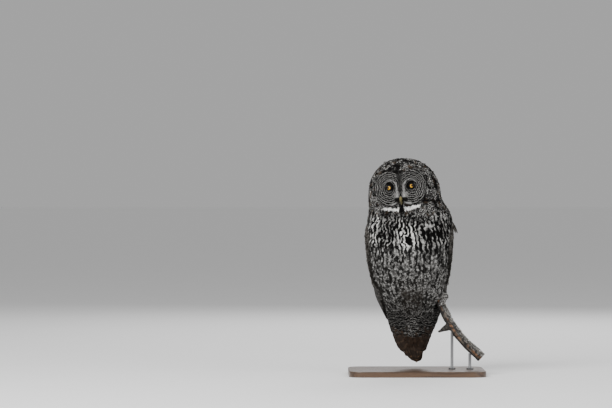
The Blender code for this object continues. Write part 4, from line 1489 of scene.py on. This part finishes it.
    def thrown(self, tract: Tract, hull: Hull) -> tuple[Array, Array]:
        """Throw more roots than a tract needs on a surface, and give the normals there too."""
        sizes = tract.value
        return hull.scatter(self.rng, self.CANDIDATES / sizes.spacing**2, *sizes.heights)

    def tract(self, tract: Tract) -> Plumes:
        """Grow the feathers of one tract on the outline.

        Args:
            tract: The tract.

        Returns:
            The feathers.
        """
        points, normals = self.thrown(tract, self.hull)
        found = np.nonzero(self.tract_of(points) == tract.name)[0]
        chosen = found[thinned(points[found], tract.value.spacing)]
        chosen = chosen[self.hull.open_air(points[chosen], normals[chosen], 0.080)]
        plumes = self.clear_of_perch(self.grow(points[chosen], normals[chosen], tract, self.hull))
        log.info("%s: %d feathers", tract.name.lower(), len(plumes.lines))
        return plumes

    def feet(self, feet: Hull) -> Plumes:
        """Grow the short feathers of the toes.

        Args:
            feet: Surface of both feet.

        Returns:
            The feathers.
        """
        points, normals = self.thrown(Tract.FOOT, feet)
        chosen = thinned(points, Tract.FOOT.value.spacing)
        chosen = chosen[self.perch_side(points[chosen], normals[chosen])]
        return self.grow(points[chosen], normals[chosen], Tract.FOOT, feet)

    def lids(self, lid: Hull, eye: "Eye") -> Plumes:
        """Grow the fine black feathers on the lids of an eye, clear of their bare rims.

        Args:
            lid: Surface of the lids.
            eye: The eye that they cover.

        Returns:
            The feathers.
        """
        points, normals = self.thrown(Tract.LID, lid)
        offsets = points - np.array(eye.centre)
        ahead = np.array(eye.facing(0.0, 0.0))
        turned = np.degrees(np.arccos(np.clip((unit(offsets) @ ahead)[:, 2], -1.0, 1.0)))
        outer = (np.sum(offsets * normals, axis=1) > 0.0) & (turned > 37.0) & (turned < 66.0)
        points, normals = points[outer], normals[outer]
        chosen = thinned(points, Tract.LID.value.spacing)
        return self.grow(points[chosen], normals[chosen], Tract.LID, lid)

    def perch_side(self, points: Array, normals: Array) -> Array:
        """Say of points whether they look away from the perch."""
        away = np.empty(len(points), dtype=bool)
        for index, (point, normal) in enumerate(zip(points.tolist(), normals.tolist())):
            place, _, _, distance = self.perch.tree.find_nearest(point)
            away[index] = distance > 0.003 or (Vector(point) - place).dot(Vector(normal)) > 0.0
        return away


@dataclass(frozen=True)
class Body:
    """The outline of the owl, and one skin that lies inside it by the depth of the coat."""

    voxel: float = 0.0026
    joint_closing: float = 0.0006
    smoothing: int = 14
    tail_smoothing: int = 4
    face_depth: float = 0.0022
    head_depth: float = 0.0042
    body_depth: float = 0.0058
    tail_depth: float = 0.0030
    foot_depth: float = 0.0003

    def outline(self) -> Mesh:
        """Draw one smooth surface round the nodes of flesh."""
        bm = remeshed(merged_copy(FLESH_NODES, self.joint_closing), "outline", self.voxel)
        spots = np.array([tuple(vert.co) for vert in bm.verts])
        limbs = self.near_limbs(spots)
        calm = [vert for vert, limb in zip(bm.verts, limbs) if not limb]
        for number in range(self.smoothing):
            if number == self.tail_smoothing:
                calm = [vert for vert in calm if vert.co.z > TAIL_HEIGHT]
            smoothed(bm, calm)
        bm.normal_update()
        for vert in bm.verts:
            vert.co -= vert.normal * self.joint_closing
        mesh = bpy.data.meshes.new("skin")
        bm.to_mesh(mesh)
        bm.free()
        mesh.shade_smooth()
        return mesh

    def near_limbs(self, points: Array) -> Array:
        """Say of points whether they are on or beside a foot."""
        near = np.zeros(len(points), dtype=bool)
        for name in ("foot_left", "foot_right"):
            low, high = (np.array(corner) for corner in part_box(name))
            near |= np.all((points > low - 0.002) & (points < high + 0.002), axis=1)
        return near

    def depth(self, points: Array) -> Array:
        """Give the depth of the coat at points of the outline."""
        across, into, up = FACE.local(points)
        reach = FACE.reach(across, up)
        face = (1.0 - ease(reach, 1.05, 1.25)) * (1.0 - ease(into, 0.035, 0.055))
        depth = self.body_depth + (self.head_depth - self.body_depth) * ease(points[:, 2], 0.48, 0.56)
        depth += (self.face_depth - depth) * face
        depth += (self.tail_depth - depth) * (1.0 - ease(points[:, 2], 0.080, 0.150))
        return np.where(self.near_limbs(points), self.foot_depth, depth)

    def skin(self, outline: Mesh, hull: Hull, material: Material) -> None:
        """Move the outline in by the depth of the coat and show it as the skin."""
        points = hull.points - hull.normals * self.depth(hull.points)[:, None]
        outline.vertices.foreach_set("co", points.astype(np.float32).ravel())
        outline.update()
        add_piece(outline, material, FLESH_NODES)


@dataclass(frozen=True)
class Rank:
    """A row of long feathers: places from 0 at the wing's leading edge to 1, and heights."""

    roots: tuple[float, float]
    ends: tuple[float, float]
    top: float
    tips: tuple[float, ...]
    half_width: float


@dataclass(frozen=True)
class Wing:
    """Long feathers of one folded wing, stacked from its leading edge to the back."""

    side: float
    stations: int = 10
    ranks: tuple[Rank, ...] = (
        Rank((0.05, 0.45), (0.08, 0.90), 0.315, PRIMARY_TIPS, 0.0115),
        Rank((0.10, 0.96), (0.86, 0.97), 0.362, tuple(np.linspace(0.194, 0.258, 13)), 0.0145),
    )
    layer: float = 0.00022
    deepest: float = 0.0026
    roll: float = 0.10

    def line(
        self, hull: Hull, shares: tuple[float, float], heights: tuple[float, float], depth: float
    ) -> tuple[Array, Array]:
        """Draw a feather's line down the wing.

        Args:
            hull: The outline.
            shares: Places of root and tip between the leading edge, 0, and the back, 1.
            heights: Heights of root and tip.
            depth: Depth below the outline.

        Returns:
            The line's points and the normals there.
        """
        places, ups = [], []
        for share, height in zip(*(np.linspace(*ends, self.stations) for ends in (shares, heights))):
            lead = wing_lead(np.array([height]), np.array([self.side < 0.0]))[0]
            trail = np.interp(height, WING_Z, WING_TRAIL)
            place, normal = hull.at(height, self.side * (lead + share * (trail - lead)))
            places.append(place - normal * depth)
            ups.append(normal)
        lines = np.array(places)
        normals = np.array(ups)
        run = unit(np.gradient(lines, axis=0))
        return lines, unit(normals + np.cross(run, normals) * self.roll * self.side)

    def feathers(self, hull: Hull, rng: np.random.Generator) -> Plumes:
        """Lay the ranks over one another.

        Args:
            hull: The outline.
            rng: Source of chance.

        Returns:
            The feathers.
        """
        lines, normals, widths = [], [], []
        for rank in self.ranks:
            roots, ends = (np.linspace(*span, len(rank.tips)) for span in (rank.roots, rank.ends))
            for *shares, tip in zip(roots, ends, rank.tips):
                depth = self.deepest - self.layer * len(lines)
                line, normal = self.line(hull, shares, (rank.top, tip + rng.uniform(-0.002, 0.002)), depth)
                lines.append(line)
                normals.append(normal)
                widths.append(rank.half_width)
        total = len(lines)
        places = strip_places(total)
        return Plumes(np.array(lines), np.array(normals), np.array(widths), places, rng.random(total))


def strip_places(count: int) -> Array:
    """Give the middles of upright strips side by side in a map."""
    return np.stack([(np.arange(count) + 0.5) / count, np.full(count, 0.5)], axis=1)


@dataclass(frozen=True)
class Tail:
    """Long tail feathers in two fans, seen from below in front and from above at the back."""

    count: int = 7
    stations: int = 9
    top: float = 0.150
    lowest: float = 0.0350
    edge_rise: float = 0.0340
    inset: float = 0.0110
    half_width: float = 0.0160
    depth: float = 0.0012
    layer: float = 0.0004

    def half_breadth(self, hull: Hull, height: float) -> tuple[float, float]:
        """Measure the middle and half breadth of the outline at a height."""
        slab = hull.points[np.abs(hull.points[:, 2] - height) < 0.003, 0]
        return (slab.max() + slab.min()) / 2.0, (slab.max() - slab.min()) / 2.0

    def feathers(self, hull: Hull, rng: np.random.Generator) -> Plumes:
        """Lay both fans."""
        lines, normals = [], []
        for face in (-1.0, 1.0):
            for number in range(self.count):
                spread = -1.0 + 2.0 * number / (self.count - 1)
                tip = self.lowest + self.edge_rise * abs(spread) ** 1.5
                order = abs(spread) if face < 0.0 else 1.0 - abs(spread)
                places, ups = [], []
                for height in np.linspace(self.top, tip, self.stations):
                    middle, breadth = self.half_breadth(hull, height)
                    across = middle + spread * (breadth - self.inset)
                    inside = Vector((across, axis_at(height)[1], height))
                    start = inside + Vector((0.0, face, 0.0))
                    place, normal = hull.hit(start, Vector((0.0, -face, 0.0)), inside)
                    place.z = height
                    places.append(place - normal * (self.depth - self.layer * order * 3.0))
                    ups.append(normal)
                lines.append(places)
                normals.append(ups)
        total = 2 * self.count
        widths = np.full(total, self.half_width)
        return Plumes(np.array(lines), np.array(normals), widths, strip_places(total), rng.random(total))


@dataclass(frozen=True)
class Eye:
    """An eyeball with its cornea, and the lids round it."""

    side: float
    outward: float = math.radians(13.0)
    downward: float = math.radians(2.0)
    cornea_reach: float = 0.66
    cornea_rise: float = 0.0009
    lid_gap: float = 0.0002
    lid_thickness: float = 0.0006
    rim_swell: float = 0.0003
    open_inner: float = math.radians(35.0)
    open_outer: float = math.radians(31.0)
    open_top: float = math.radians(21.0)
    open_bottom: float = math.radians(31.0)
    lid_end: float = math.radians(80.0)

    @property
    def node(self) -> str:
        """Name of the CAD node."""
        return "eye_left" if self.side > 0.0 else "eye_right"

    @property
    def centre(self) -> Vector:
        """Middle of the ball."""
        low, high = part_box(self.node)
        return (low + high) / 2.0

    @property
    def radius(self) -> float:
        """Radius of the ball."""
        low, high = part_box(self.node)
        return (high.z - low.z) / 2.0

    def facing(self, outward: float, downward: float) -> Matrix:
        """Give a frame whose x is across to the left, y is up and z looks ahead."""
        ahead = Matrix(((1.0, 0.0, 0.0), (0.0, 0.0, -1.0), (0.0, 1.0, 0.0)))
        turn = Matrix.Rotation(self.side * outward, 3, "Z") @ Matrix.Rotation(downward, 3, "X")
        return FACE.matrix @ turn @ ahead

    def ball(self, material: Material) -> None:
        """Build the eyeball, with a map of how far each point is from the pupil's middle."""
        bm = bmesh.new()
        bmesh.ops.create_uvsphere(bm, u_segments=56, v_segments=40, radius=1.0)
        layer = bm.loops.layers.uv.new("Gaze")
        for face in bm.faces:
            for loop in face.loops:
                loop[layer].uv = (0.5 + loop.vert.co.x / 2.0, 0.5 + loop.vert.co.y / 2.0)
        frame_ahead = self.facing(self.outward, self.downward)
        for vert in bm.verts:
            reach = math.hypot(vert.co.x, vert.co.y) / self.cornea_reach
            bulge = self.cornea_rise * max(1.0 - reach * reach, 0.0) if vert.co.z > 0.0 else 0.0
            vert.co = self.centre + frame_ahead @ (vert.co * (self.radius + bulge))
        add_piece(mesh_from(bm, self.node + "_ball"), material, (self.node,))

    def lids(self, material: Material) -> Hull:
        """Build the lids: a shell round the ball, open in front and lowest on top, and give its surface."""
        ahead = self.facing(0.0, 0.0)

        def place(x: float, y: float, share: float) -> Vector:
            """Place a point of the shell."""
            edge = self.open_top if y > 0.0 else self.open_bottom
            corner = self.open_outer if x * self.side > 0.0 else self.open_inner
            opening = corner + (edge - corner) * abs(y) ** 1.4
            polar = opening + (self.lid_end - opening) * share
            swell = self.rim_swell * math.exp(-((share / 0.14) ** 2))
            radius = self.radius + self.lid_gap + swell
            around = Vector((x * math.sin(polar), y * math.sin(polar), math.cos(polar)))
            return self.centre + ahead @ (around * radius)

        bm = mapped_wall(56, 12, False, place)
        bmesh.ops.recalc_face_normals(bm, faces=bm.faces)
        bmesh.ops.solidify(bm, geom=bm.faces, thickness=-self.lid_thickness)
        return Hull(add_piece(mesh_from(bm, self.node + "_lids", 50.0), material).data)


@dataclass(frozen=True)
class Bill:
    """One half of the bill: a curved horn that tapers to its tip."""

    node: str
    root: tuple[float, float, float]
    aim: float
    length: float
    half_width: float
    half_height: float
    bend: float
    keel: float = 0.30

    def place(self, x: float, y: float, share: float) -> Vector:
        """Place a point of the horn in the frame of the face."""
        slim = 0.05 + 0.95 * max(1.0 - share**1.7, 0.0) ** 0.8
        turned = self.bend * share
        radius = self.length / self.bend
        height = y * self.half_height * slim
        wide = x * self.half_width * slim * (1.0 - self.keel * max(y, 0.0))
        along = -radius * math.sin(turned) - height * math.sin(turned)
        drop = -radius * (1.0 - math.cos(turned)) + height * math.cos(turned)
        point = Matrix.Rotation(self.aim, 3, "X") @ Vector((wide, along, drop))
        return FACE.world(*(Vector(self.root) + point))

    def build(self, material: Material) -> None:
        """Build the horn, with each point's share of the length."""
        bm = mapped_wall(28, 26, True, lambda x, y, share: Vector((x, y, share)))
        layer = bm.verts.layers.float.new("along")
        for vert in bm.verts:
            vert[layer] = vert.co.z
            vert.co = self.place(*vert.co)
        add_piece(mesh_from(bm, self.node + "_horn", 60.0), material, (self.node,))


@dataclass(frozen=True)
class Claws:
    """The four claws of a foot, made round and smooth."""

    side: str
    levels: int = 2

    def build(self, material: Material) -> None:
        """Smooth copies of the claws' nodes."""
        nodes = tuple(f"claw_{self.side}_{number}" for number in range(1, 5))
        piece = add_piece(mesh_from(merged_copy(nodes), "claws_" + self.side), material, nodes)
        rounding = piece.modifiers.new("rounding", "SUBSURF")
        rounding.levels = self.levels
        rounding.render_levels = self.levels


@dataclass(frozen=True)
class Perch:
    """The cut length of branch: ridged bark, a broken spur and two sawn ends."""

    middle_line: tuple[tuple[float, float, float], ...] = (
        (0.205, -0.030, 0.056), (0.148, -0.025, 0.110), (0.125, -0.022, 0.139),
        (0.105, -0.018, 0.170), (0.0885, -0.014, 0.202), (0.071, -0.010, 0.237),
        (0.042, -0.006, 0.269), (0.004, -0.004, 0.288), (-0.034, -0.002, 0.296),
    )
    spur_line: tuple[tuple[float, float, float], ...] = ((0.106, -0.018, 0.156), (0.068, -0.024, 0.1365))
    voxel: float = 0.0012
    ridge: float = 0.0013
    grain: float = 0.0005
    end_depth: float = 0.0025

    def straight_places(self, points: Array) -> tuple[Array, Array]:
        """Measure points along and round the branch's own line.

        Args:
            points: Points on the bark.

        Returns:
            Places in a straightened branch, and nearness to a sawn end from 0 to 1.
        """
        line = np.array(self.middle_line)
        starts = line[:-1]
        runs = line[1:] - starts
        lengths = np.linalg.norm(runs, axis=1)
        before = np.concatenate([[0.0], np.cumsum(lengths)[:-1]])
        offsets = points[:, None, :] - starts[None]
        shares = np.sum(offsets * runs, axis=2) / lengths**2
        clipped = np.clip(shares, 0.0, 1.0)
        nearest = np.linalg.norm(offsets - runs * clipped[:, :, None], axis=2)
        best = nearest.argmin(axis=1)
        rows = np.arange(len(points))
        along = before[best] + clipped[rows, best] * lengths[best]
        radial = offsets[rows, best] - runs[best] * clipped[rows, best][:, None]
        direction = runs[best] / lengths[best][:, None]
        first = unit(np.cross(direction, np.array([0.0, 1.0, 0.0])))
        second = np.cross(direction, first)
        x = np.sum(radial * first, axis=1)
        y = np.sum(radial * second, axis=1)
        total = before[-1] + lengths[-1]
        to_end = np.minimum(along, total - along)
        return np.stack([x, y, along], axis=1), 1.0 - ease(to_end, 0.0, self.end_depth)

    def build(self, material: Material) -> Hull:
        """Build the branch and give its surface."""
        bm = remeshed(merged_copy(("perch_branch",)), "perch", self.voxel)
        for _ in range(3):
            smoothed(bm, bm.verts)
        bm.normal_update()
        points = np.array([tuple(vert.co) for vert in bm.verts])
        places, ends = self.straight_places(points)
        place_layer = bm.verts.layers.float_vector.new("straight")
        sawn_layer = bm.verts.layers.float.new("sawn")
        line = np.array(self.middle_line)
        along = [Vector(run) for run in unit(line[[1, -1]] - line[[0, -2]])]
        for vert, place, end in zip(bm.verts, places, ends):
            flat = max(abs(vert.normal.dot(run)) for run in along)
            sawn = float(end > 0.05 and flat > 0.75)
            spot = Vector((place[0] * 110.0, place[1] * 110.0, place[2] * 24.0))
            furrow = abs(noise.noise(spot)) * 2.0
            knots = noise.noise(Vector(place) * 45.0)
            fine = noise.noise(Vector((place[0] * 420.0, place[1] * 420.0, place[2] * 120.0)))
            lift = self.ridge * (furrow - 0.55 + 0.45 * knots) + self.grain * fine
            vert[place_layer] = Vector(place)
            vert[sawn_layer] = sawn
            vert.co += vert.normal * lift * (1.0 - sawn)
        return Hull(add_piece(mesh_from(bm, "perch", 180.0), material, ("perch_branch",)).data)


@dataclass(frozen=True)
class Stand:
    """The display stand: a wooden base and two steel rods with collars."""

    corner: float = 0.045
    edge: float = 0.003
    rod_radius: float = 0.0045
    collar_radius: float = 0.011
    collar_height: float = 0.006
    chamfer: float = 0.001
    fillet: float = 0.0015
    sunk: float = 0.003
    rods: tuple[str, ...] = ("stand_rod_1", "stand_rod_2")

    def base(self, material: Material) -> None:
        """Build the base with round corners and an eased upper edge."""
        low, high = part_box("stand_base")
        size = high - low
        bm = bmesh.new()
        bmesh.ops.create_cube(bm, size=1.0)
        bmesh.ops.scale(bm, vec=size, verts=bm.verts)
        bmesh.ops.translate(bm, vec=(low + high) / 2.0, verts=bm.verts)
        uprights = [edge for edge in bm.edges if abs(edge.verts[0].co.z - edge.verts[1].co.z) > 0.001]
        bmesh.ops.bevel(
            bm, geom=uprights, offset=self.corner, segments=16, profile=0.5, affect="EDGES", material=-1
        )
        rim = [edge for edge in bm.edges if min(vert.co.z for vert in edge.verts) > high.z - 1e-5]
        bmesh.ops.bevel(bm, geom=rim, offset=self.edge, segments=5, profile=0.5, affect="EDGES", material=-1)
        add_piece(mesh_from(bm, "stand_plinth", 35.0), material, ("stand_base",))

    def rod(self, node: str, material: Material) -> None:
        """Turn a rod with its collar, up into the underside of the branch."""
        low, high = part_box(node)
        middle = (low + high) / 2.0
        top = high.z - self.sunk
        corner = low.z + self.collar_height
        profile = (
            (0.0, low.z), (self.collar_radius, low.z), (self.collar_radius, corner - self.chamfer),
            (self.collar_radius - self.chamfer, corner), (self.rod_radius + self.fillet, corner),
            (self.rod_radius + self.fillet * 0.3, corner + self.fillet * 0.3),
            (self.rod_radius, corner + self.fillet), (self.rod_radius, top), (0.0, top),
        )
        bm = bmesh.new()
        verts = [bm.verts.new((middle.x + radius, middle.y, height)) for radius, height in profile]
        edges = [bm.edges.new(pair) for pair in zip(verts, verts[1:])]
        bmesh.ops.spin(
            bm, geom=verts + edges, cent=middle, axis=(0.0, 0.0, 1.0), angle=math.tau, steps=48,
            use_merge=True, use_duplicate=False,
        )
        bmesh.ops.remove_doubles(bm, verts=bm.verts, dist=1e-6)
        add_piece(mesh_from(bm, node.replace("rod", "post"), 30.0), material, (node,))


@dataclass(frozen=True)
class Studio:
    """Floor, lights and camera."""

    pixel: float = 0.00317
    image_width: float = 612.0
    sensor: float = 36.0
    camera_place: tuple[float, float, float] = (-0.3497, -8.0, 0.5412)
    floor_radius: float = 400.0
    lights: tuple[tuple, ...] = (
        ("key", (-2.2, -3.0, 3.0), 2.2, 205.0),
        ("fill", (3.0, -2.6, 1.9), 3.0, 70.0),
        ("back", (0.6, 3.4, 2.8), 2.6, 80.0),
    )
    aim: tuple[float, float, float] = (0.0, 0.0, 0.35)

    def camera(self) -> None:
        """Set the camera at the photo's angle and framing."""
        data = bpy.data.cameras.new("camera")
        data.sensor_width = self.sensor
        data.lens = self.sensor * -self.camera_place[1] / (self.pixel * self.image_width)
        data.clip_end = 1000.0
        camera = placed("camera", data)
        camera.location = self.camera_place
        camera.rotation_euler = (math.pi / 2.0, 0.0, 0.0)
        bpy.context.scene.camera = camera

    def floor(self) -> None:
        """Lay a plain pale floor."""
        bm = bmesh.new()
        bmesh.ops.create_circle(bm, cap_ends=True, segments=96, radius=self.floor_radius)
        floor = placed("floor", mesh_from(bm, "floor"))
        paint = Paint("floor_paint")
        tone = paint.mix(paint.noise(3.0, 4.0), (0.94, 0.94, 0.94), (0.97, 0.97, 0.97))
        paint.finish(tone, 0.9)
        floor.data.materials.append(paint.material)

    def light(self, name: str, place: tuple[float, float, float], size: float, power: float) -> None:
        """Hang a large soft light that points at the owl's middle."""
        data = bpy.data.lights.new(name, "AREA")
        data.size = size
        data.energy = power
        light = placed(name, data)
        light.location = place
        ray = Vector(self.aim) - Vector(place)
        light.rotation_euler = ray.to_track_quat("-Z", "Y").to_euler()

    def build(self) -> None:
        """Set up the whole studio."""
        self.camera()
        self.floor()
        for light in self.lights:
            self.light(*light)
        world = bpy.data.worlds.new("studio")
        world.use_nodes = True
        background = world.node_tree.nodes["Background"]
        background.inputs["Color"].default_value = (0.62, 0.62, 0.62, 1.0)
        background.inputs["Strength"].default_value = 0.7
        bpy.context.scene.world = world


class Owl:
    """Builds the skin, the plumage, the eyes, the bill and the claws."""

    def __init__(self, perch: Hull) -> None:
        """Draw the outline and make the finishes that the whole body shares."""
        self.body = Body()
        self.outline = self.body.outline()
        self.hull = Hull(self.outline)
        self.plumage = Plumage(self.hull, perch)
        markings = Markings().tree()
        self.skin_material = PlumageFinish(markings, False).material("skin")
        self.coat_material = PlumageFinish(markings, True).material("plumage")

    def coat(self, name: str, batches: list[tuple[Tract, Plumes]]) -> None:
        """Join batches of small feathers into a piece."""
        coat = Coat("coat_" + name)
        for number, (tract, plumes) in enumerate(batches):
            coat.add_varied(plumes, tract.value.shape, 11 + 5 * number)
        coat.piece("plumage", self.coat_material)

    def small_feathers(self) -> None:
        """Cover the body and the head."""
        batches = {tract: (tract, self.plumage.tract(tract)) for tract in list(Tract)[:-2]}
        crown = batches[Tract.CROWN][1]
        high = crown.lines[:, 0, 2] > CROWN_PART_HEIGHT
        coverts = batches[Tract.COVERTS][1]
        left = coverts.lines[:, 0, 0] > AXIS_X[4]
        groups = {
            "face": [batches[tract] for tract in (Tract.FACE, Tract.BROW, Tract.LORE)],
            "ruff": [batches[tract] for tract in (Tract.RUFF, Tract.THROAT)],
            "crown": [(Tract.CROWN, crown.pick(high))],
            "nape": [(Tract.CROWN, crown.pick(~high))],
            "breast": [batches[Tract.BREAST]],
            "belly": [batches[Tract.BELLY]],
            "undertail": [batches[Tract.UNDERTAIL]],
            "back": [batches[Tract.BACK]],
            "wing_left": [(Tract.COVERTS, coverts.pick(left)), (Tract.COVERTS, self.loose_feathers())],
            "wing_right": [(Tract.COVERTS, coverts.pick(~left))],
        }
        for name, group in groups.items():
            self.coat(name, group)

    def loose_feathers(self) -> Plumes:
        """Set the ruffled feathers that stand off the left shoulder."""
        rng = np.random.default_rng(3)
        total = len(LOOSE_FEATHERS)
        lines = np.linspace(*np.array(LOOSE_FEATHERS).swapaxes(0, 1), 5, axis=1)
        lines[:, :, 0] += LOOSE_BEND * np.sin(np.linspace(0.0, math.pi, 5))
        normals = np.tile(unit(np.array([0.75, -0.65, 0.10])), (total, 5, 1))
        widths = np.full(total, LOOSE_HALF_WIDTH)
        return Plumes(lines, normals, widths, unwrap_place(lines[:, 0]), rng.random(total))

    def flight_feathers(self) -> None:
        """Lay the long feathers of wings and tail."""
        rng = np.random.default_rng(23)
        dark_grey = FlightFinish(
            (0.0105, 0.0092, 0.0080), (0.072, 0.064, 0.055), (0.110, 0.100, 0.088), 8.0
        ).material("wing_feathers")
        brown = FlightFinish(
            (0.028, 0.0185, 0.0130), (0.058, 0.038, 0.026), (0.240, 0.140, 0.080), 4.5
        ).material("tail_feathers")
        batches = (
            ("wing_feathers_left", Wing(1.0), dark_grey),
            ("wing_feathers_right", Wing(-1.0), dark_grey),
            ("tail_feathers", Tail(), brown),
        )
        for name, limb, material in batches:
            coat = Coat(name)
            plumes = limb.feathers(self.hull, rng)
            total = len(plumes.lines)
            for number in range(total):
                template = FlightShape().template(40 + number)
                coat.add(plumes.pick(slice(number, number + 1)), template, (0.96 / total, 0.98))
            coat.piece("flight_feathers", material)

    def feet(self) -> None:
        """Cover the toes with short feathers."""
        bm = merged_copy(("foot_left", "foot_right"))
        mesh = mesh_from(bm, "toes")
        plumes = self.plumage.feet(Hull(mesh))
        bpy.data.meshes.remove(mesh)
        self.coat("feet", [(Tract.FOOT, plumes)])

    def face_parts(self) -> None:
        """Set the eyes with their lids, the bill and the claws."""
        eye_material = EyeFinish().material("eye")
        lid_material = LidFinish().material("lid")
        for side in (1.0, -1.0):
            eye = Eye(side)
            eye.ball(eye_material)
            plumes = self.plumage.lids(eye.lids(lid_material), eye)
            self.coat(eye.node.replace("eye", "lids"), [(Tract.LID, plumes)])
        growth = horn_growth()
        # the bill's dark tip colour is painted shade
        bill = HornFinish((0.225, 0.185, 0.057), (0.062, 0.051, 0.023), 0.42, growth).material("bill")
        claw = HornFinish((0.022, 0.019, 0.017), (0.006, 0.006, 0.006), 0.28, growth).material("claw")
        upper = Bill(
            "bill_upper", (0.0, -0.0097, -0.0370), math.radians(34.0), 0.0220, 0.0043, 0.0075,
            math.radians(62.0),
        )
        upper.build(bill)
        lower = Bill(
            "bill_lower", (0.0, -0.0046, -0.0480), math.radians(52.0), 0.0120, 0.0036, 0.0025,
            math.radians(20.0), 0.0,
        )
        lower.build(bill)
        for side in ("left", "right"):
            Claws(side).build(claw)

    def build(self) -> None:
        """Build every piece of the owl."""
        self.small_feathers()
        self.flight_feathers()
        self.feet()
        self.face_parts()
        self.body.skin(self.outline, self.hull, self.skin_material)


def main() -> None:
    """Build the owl, its perch, its stand and the studio."""
    logging.basicConfig(level=logging.INFO, format="%(name)s: %(message)s")
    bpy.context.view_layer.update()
    Studio().build()
    perch = Perch().build(BarkFinish().material("bark"))
    Owl(perch).build()
    stand = Stand()
    stand.base(WoodFinish().material("stand_wood"))
    steel = SteelFinish().material("stand_steel")
    for node in stand.rods:
        stand.rod(node, steel)


if __name__ == "__main__":
    main()
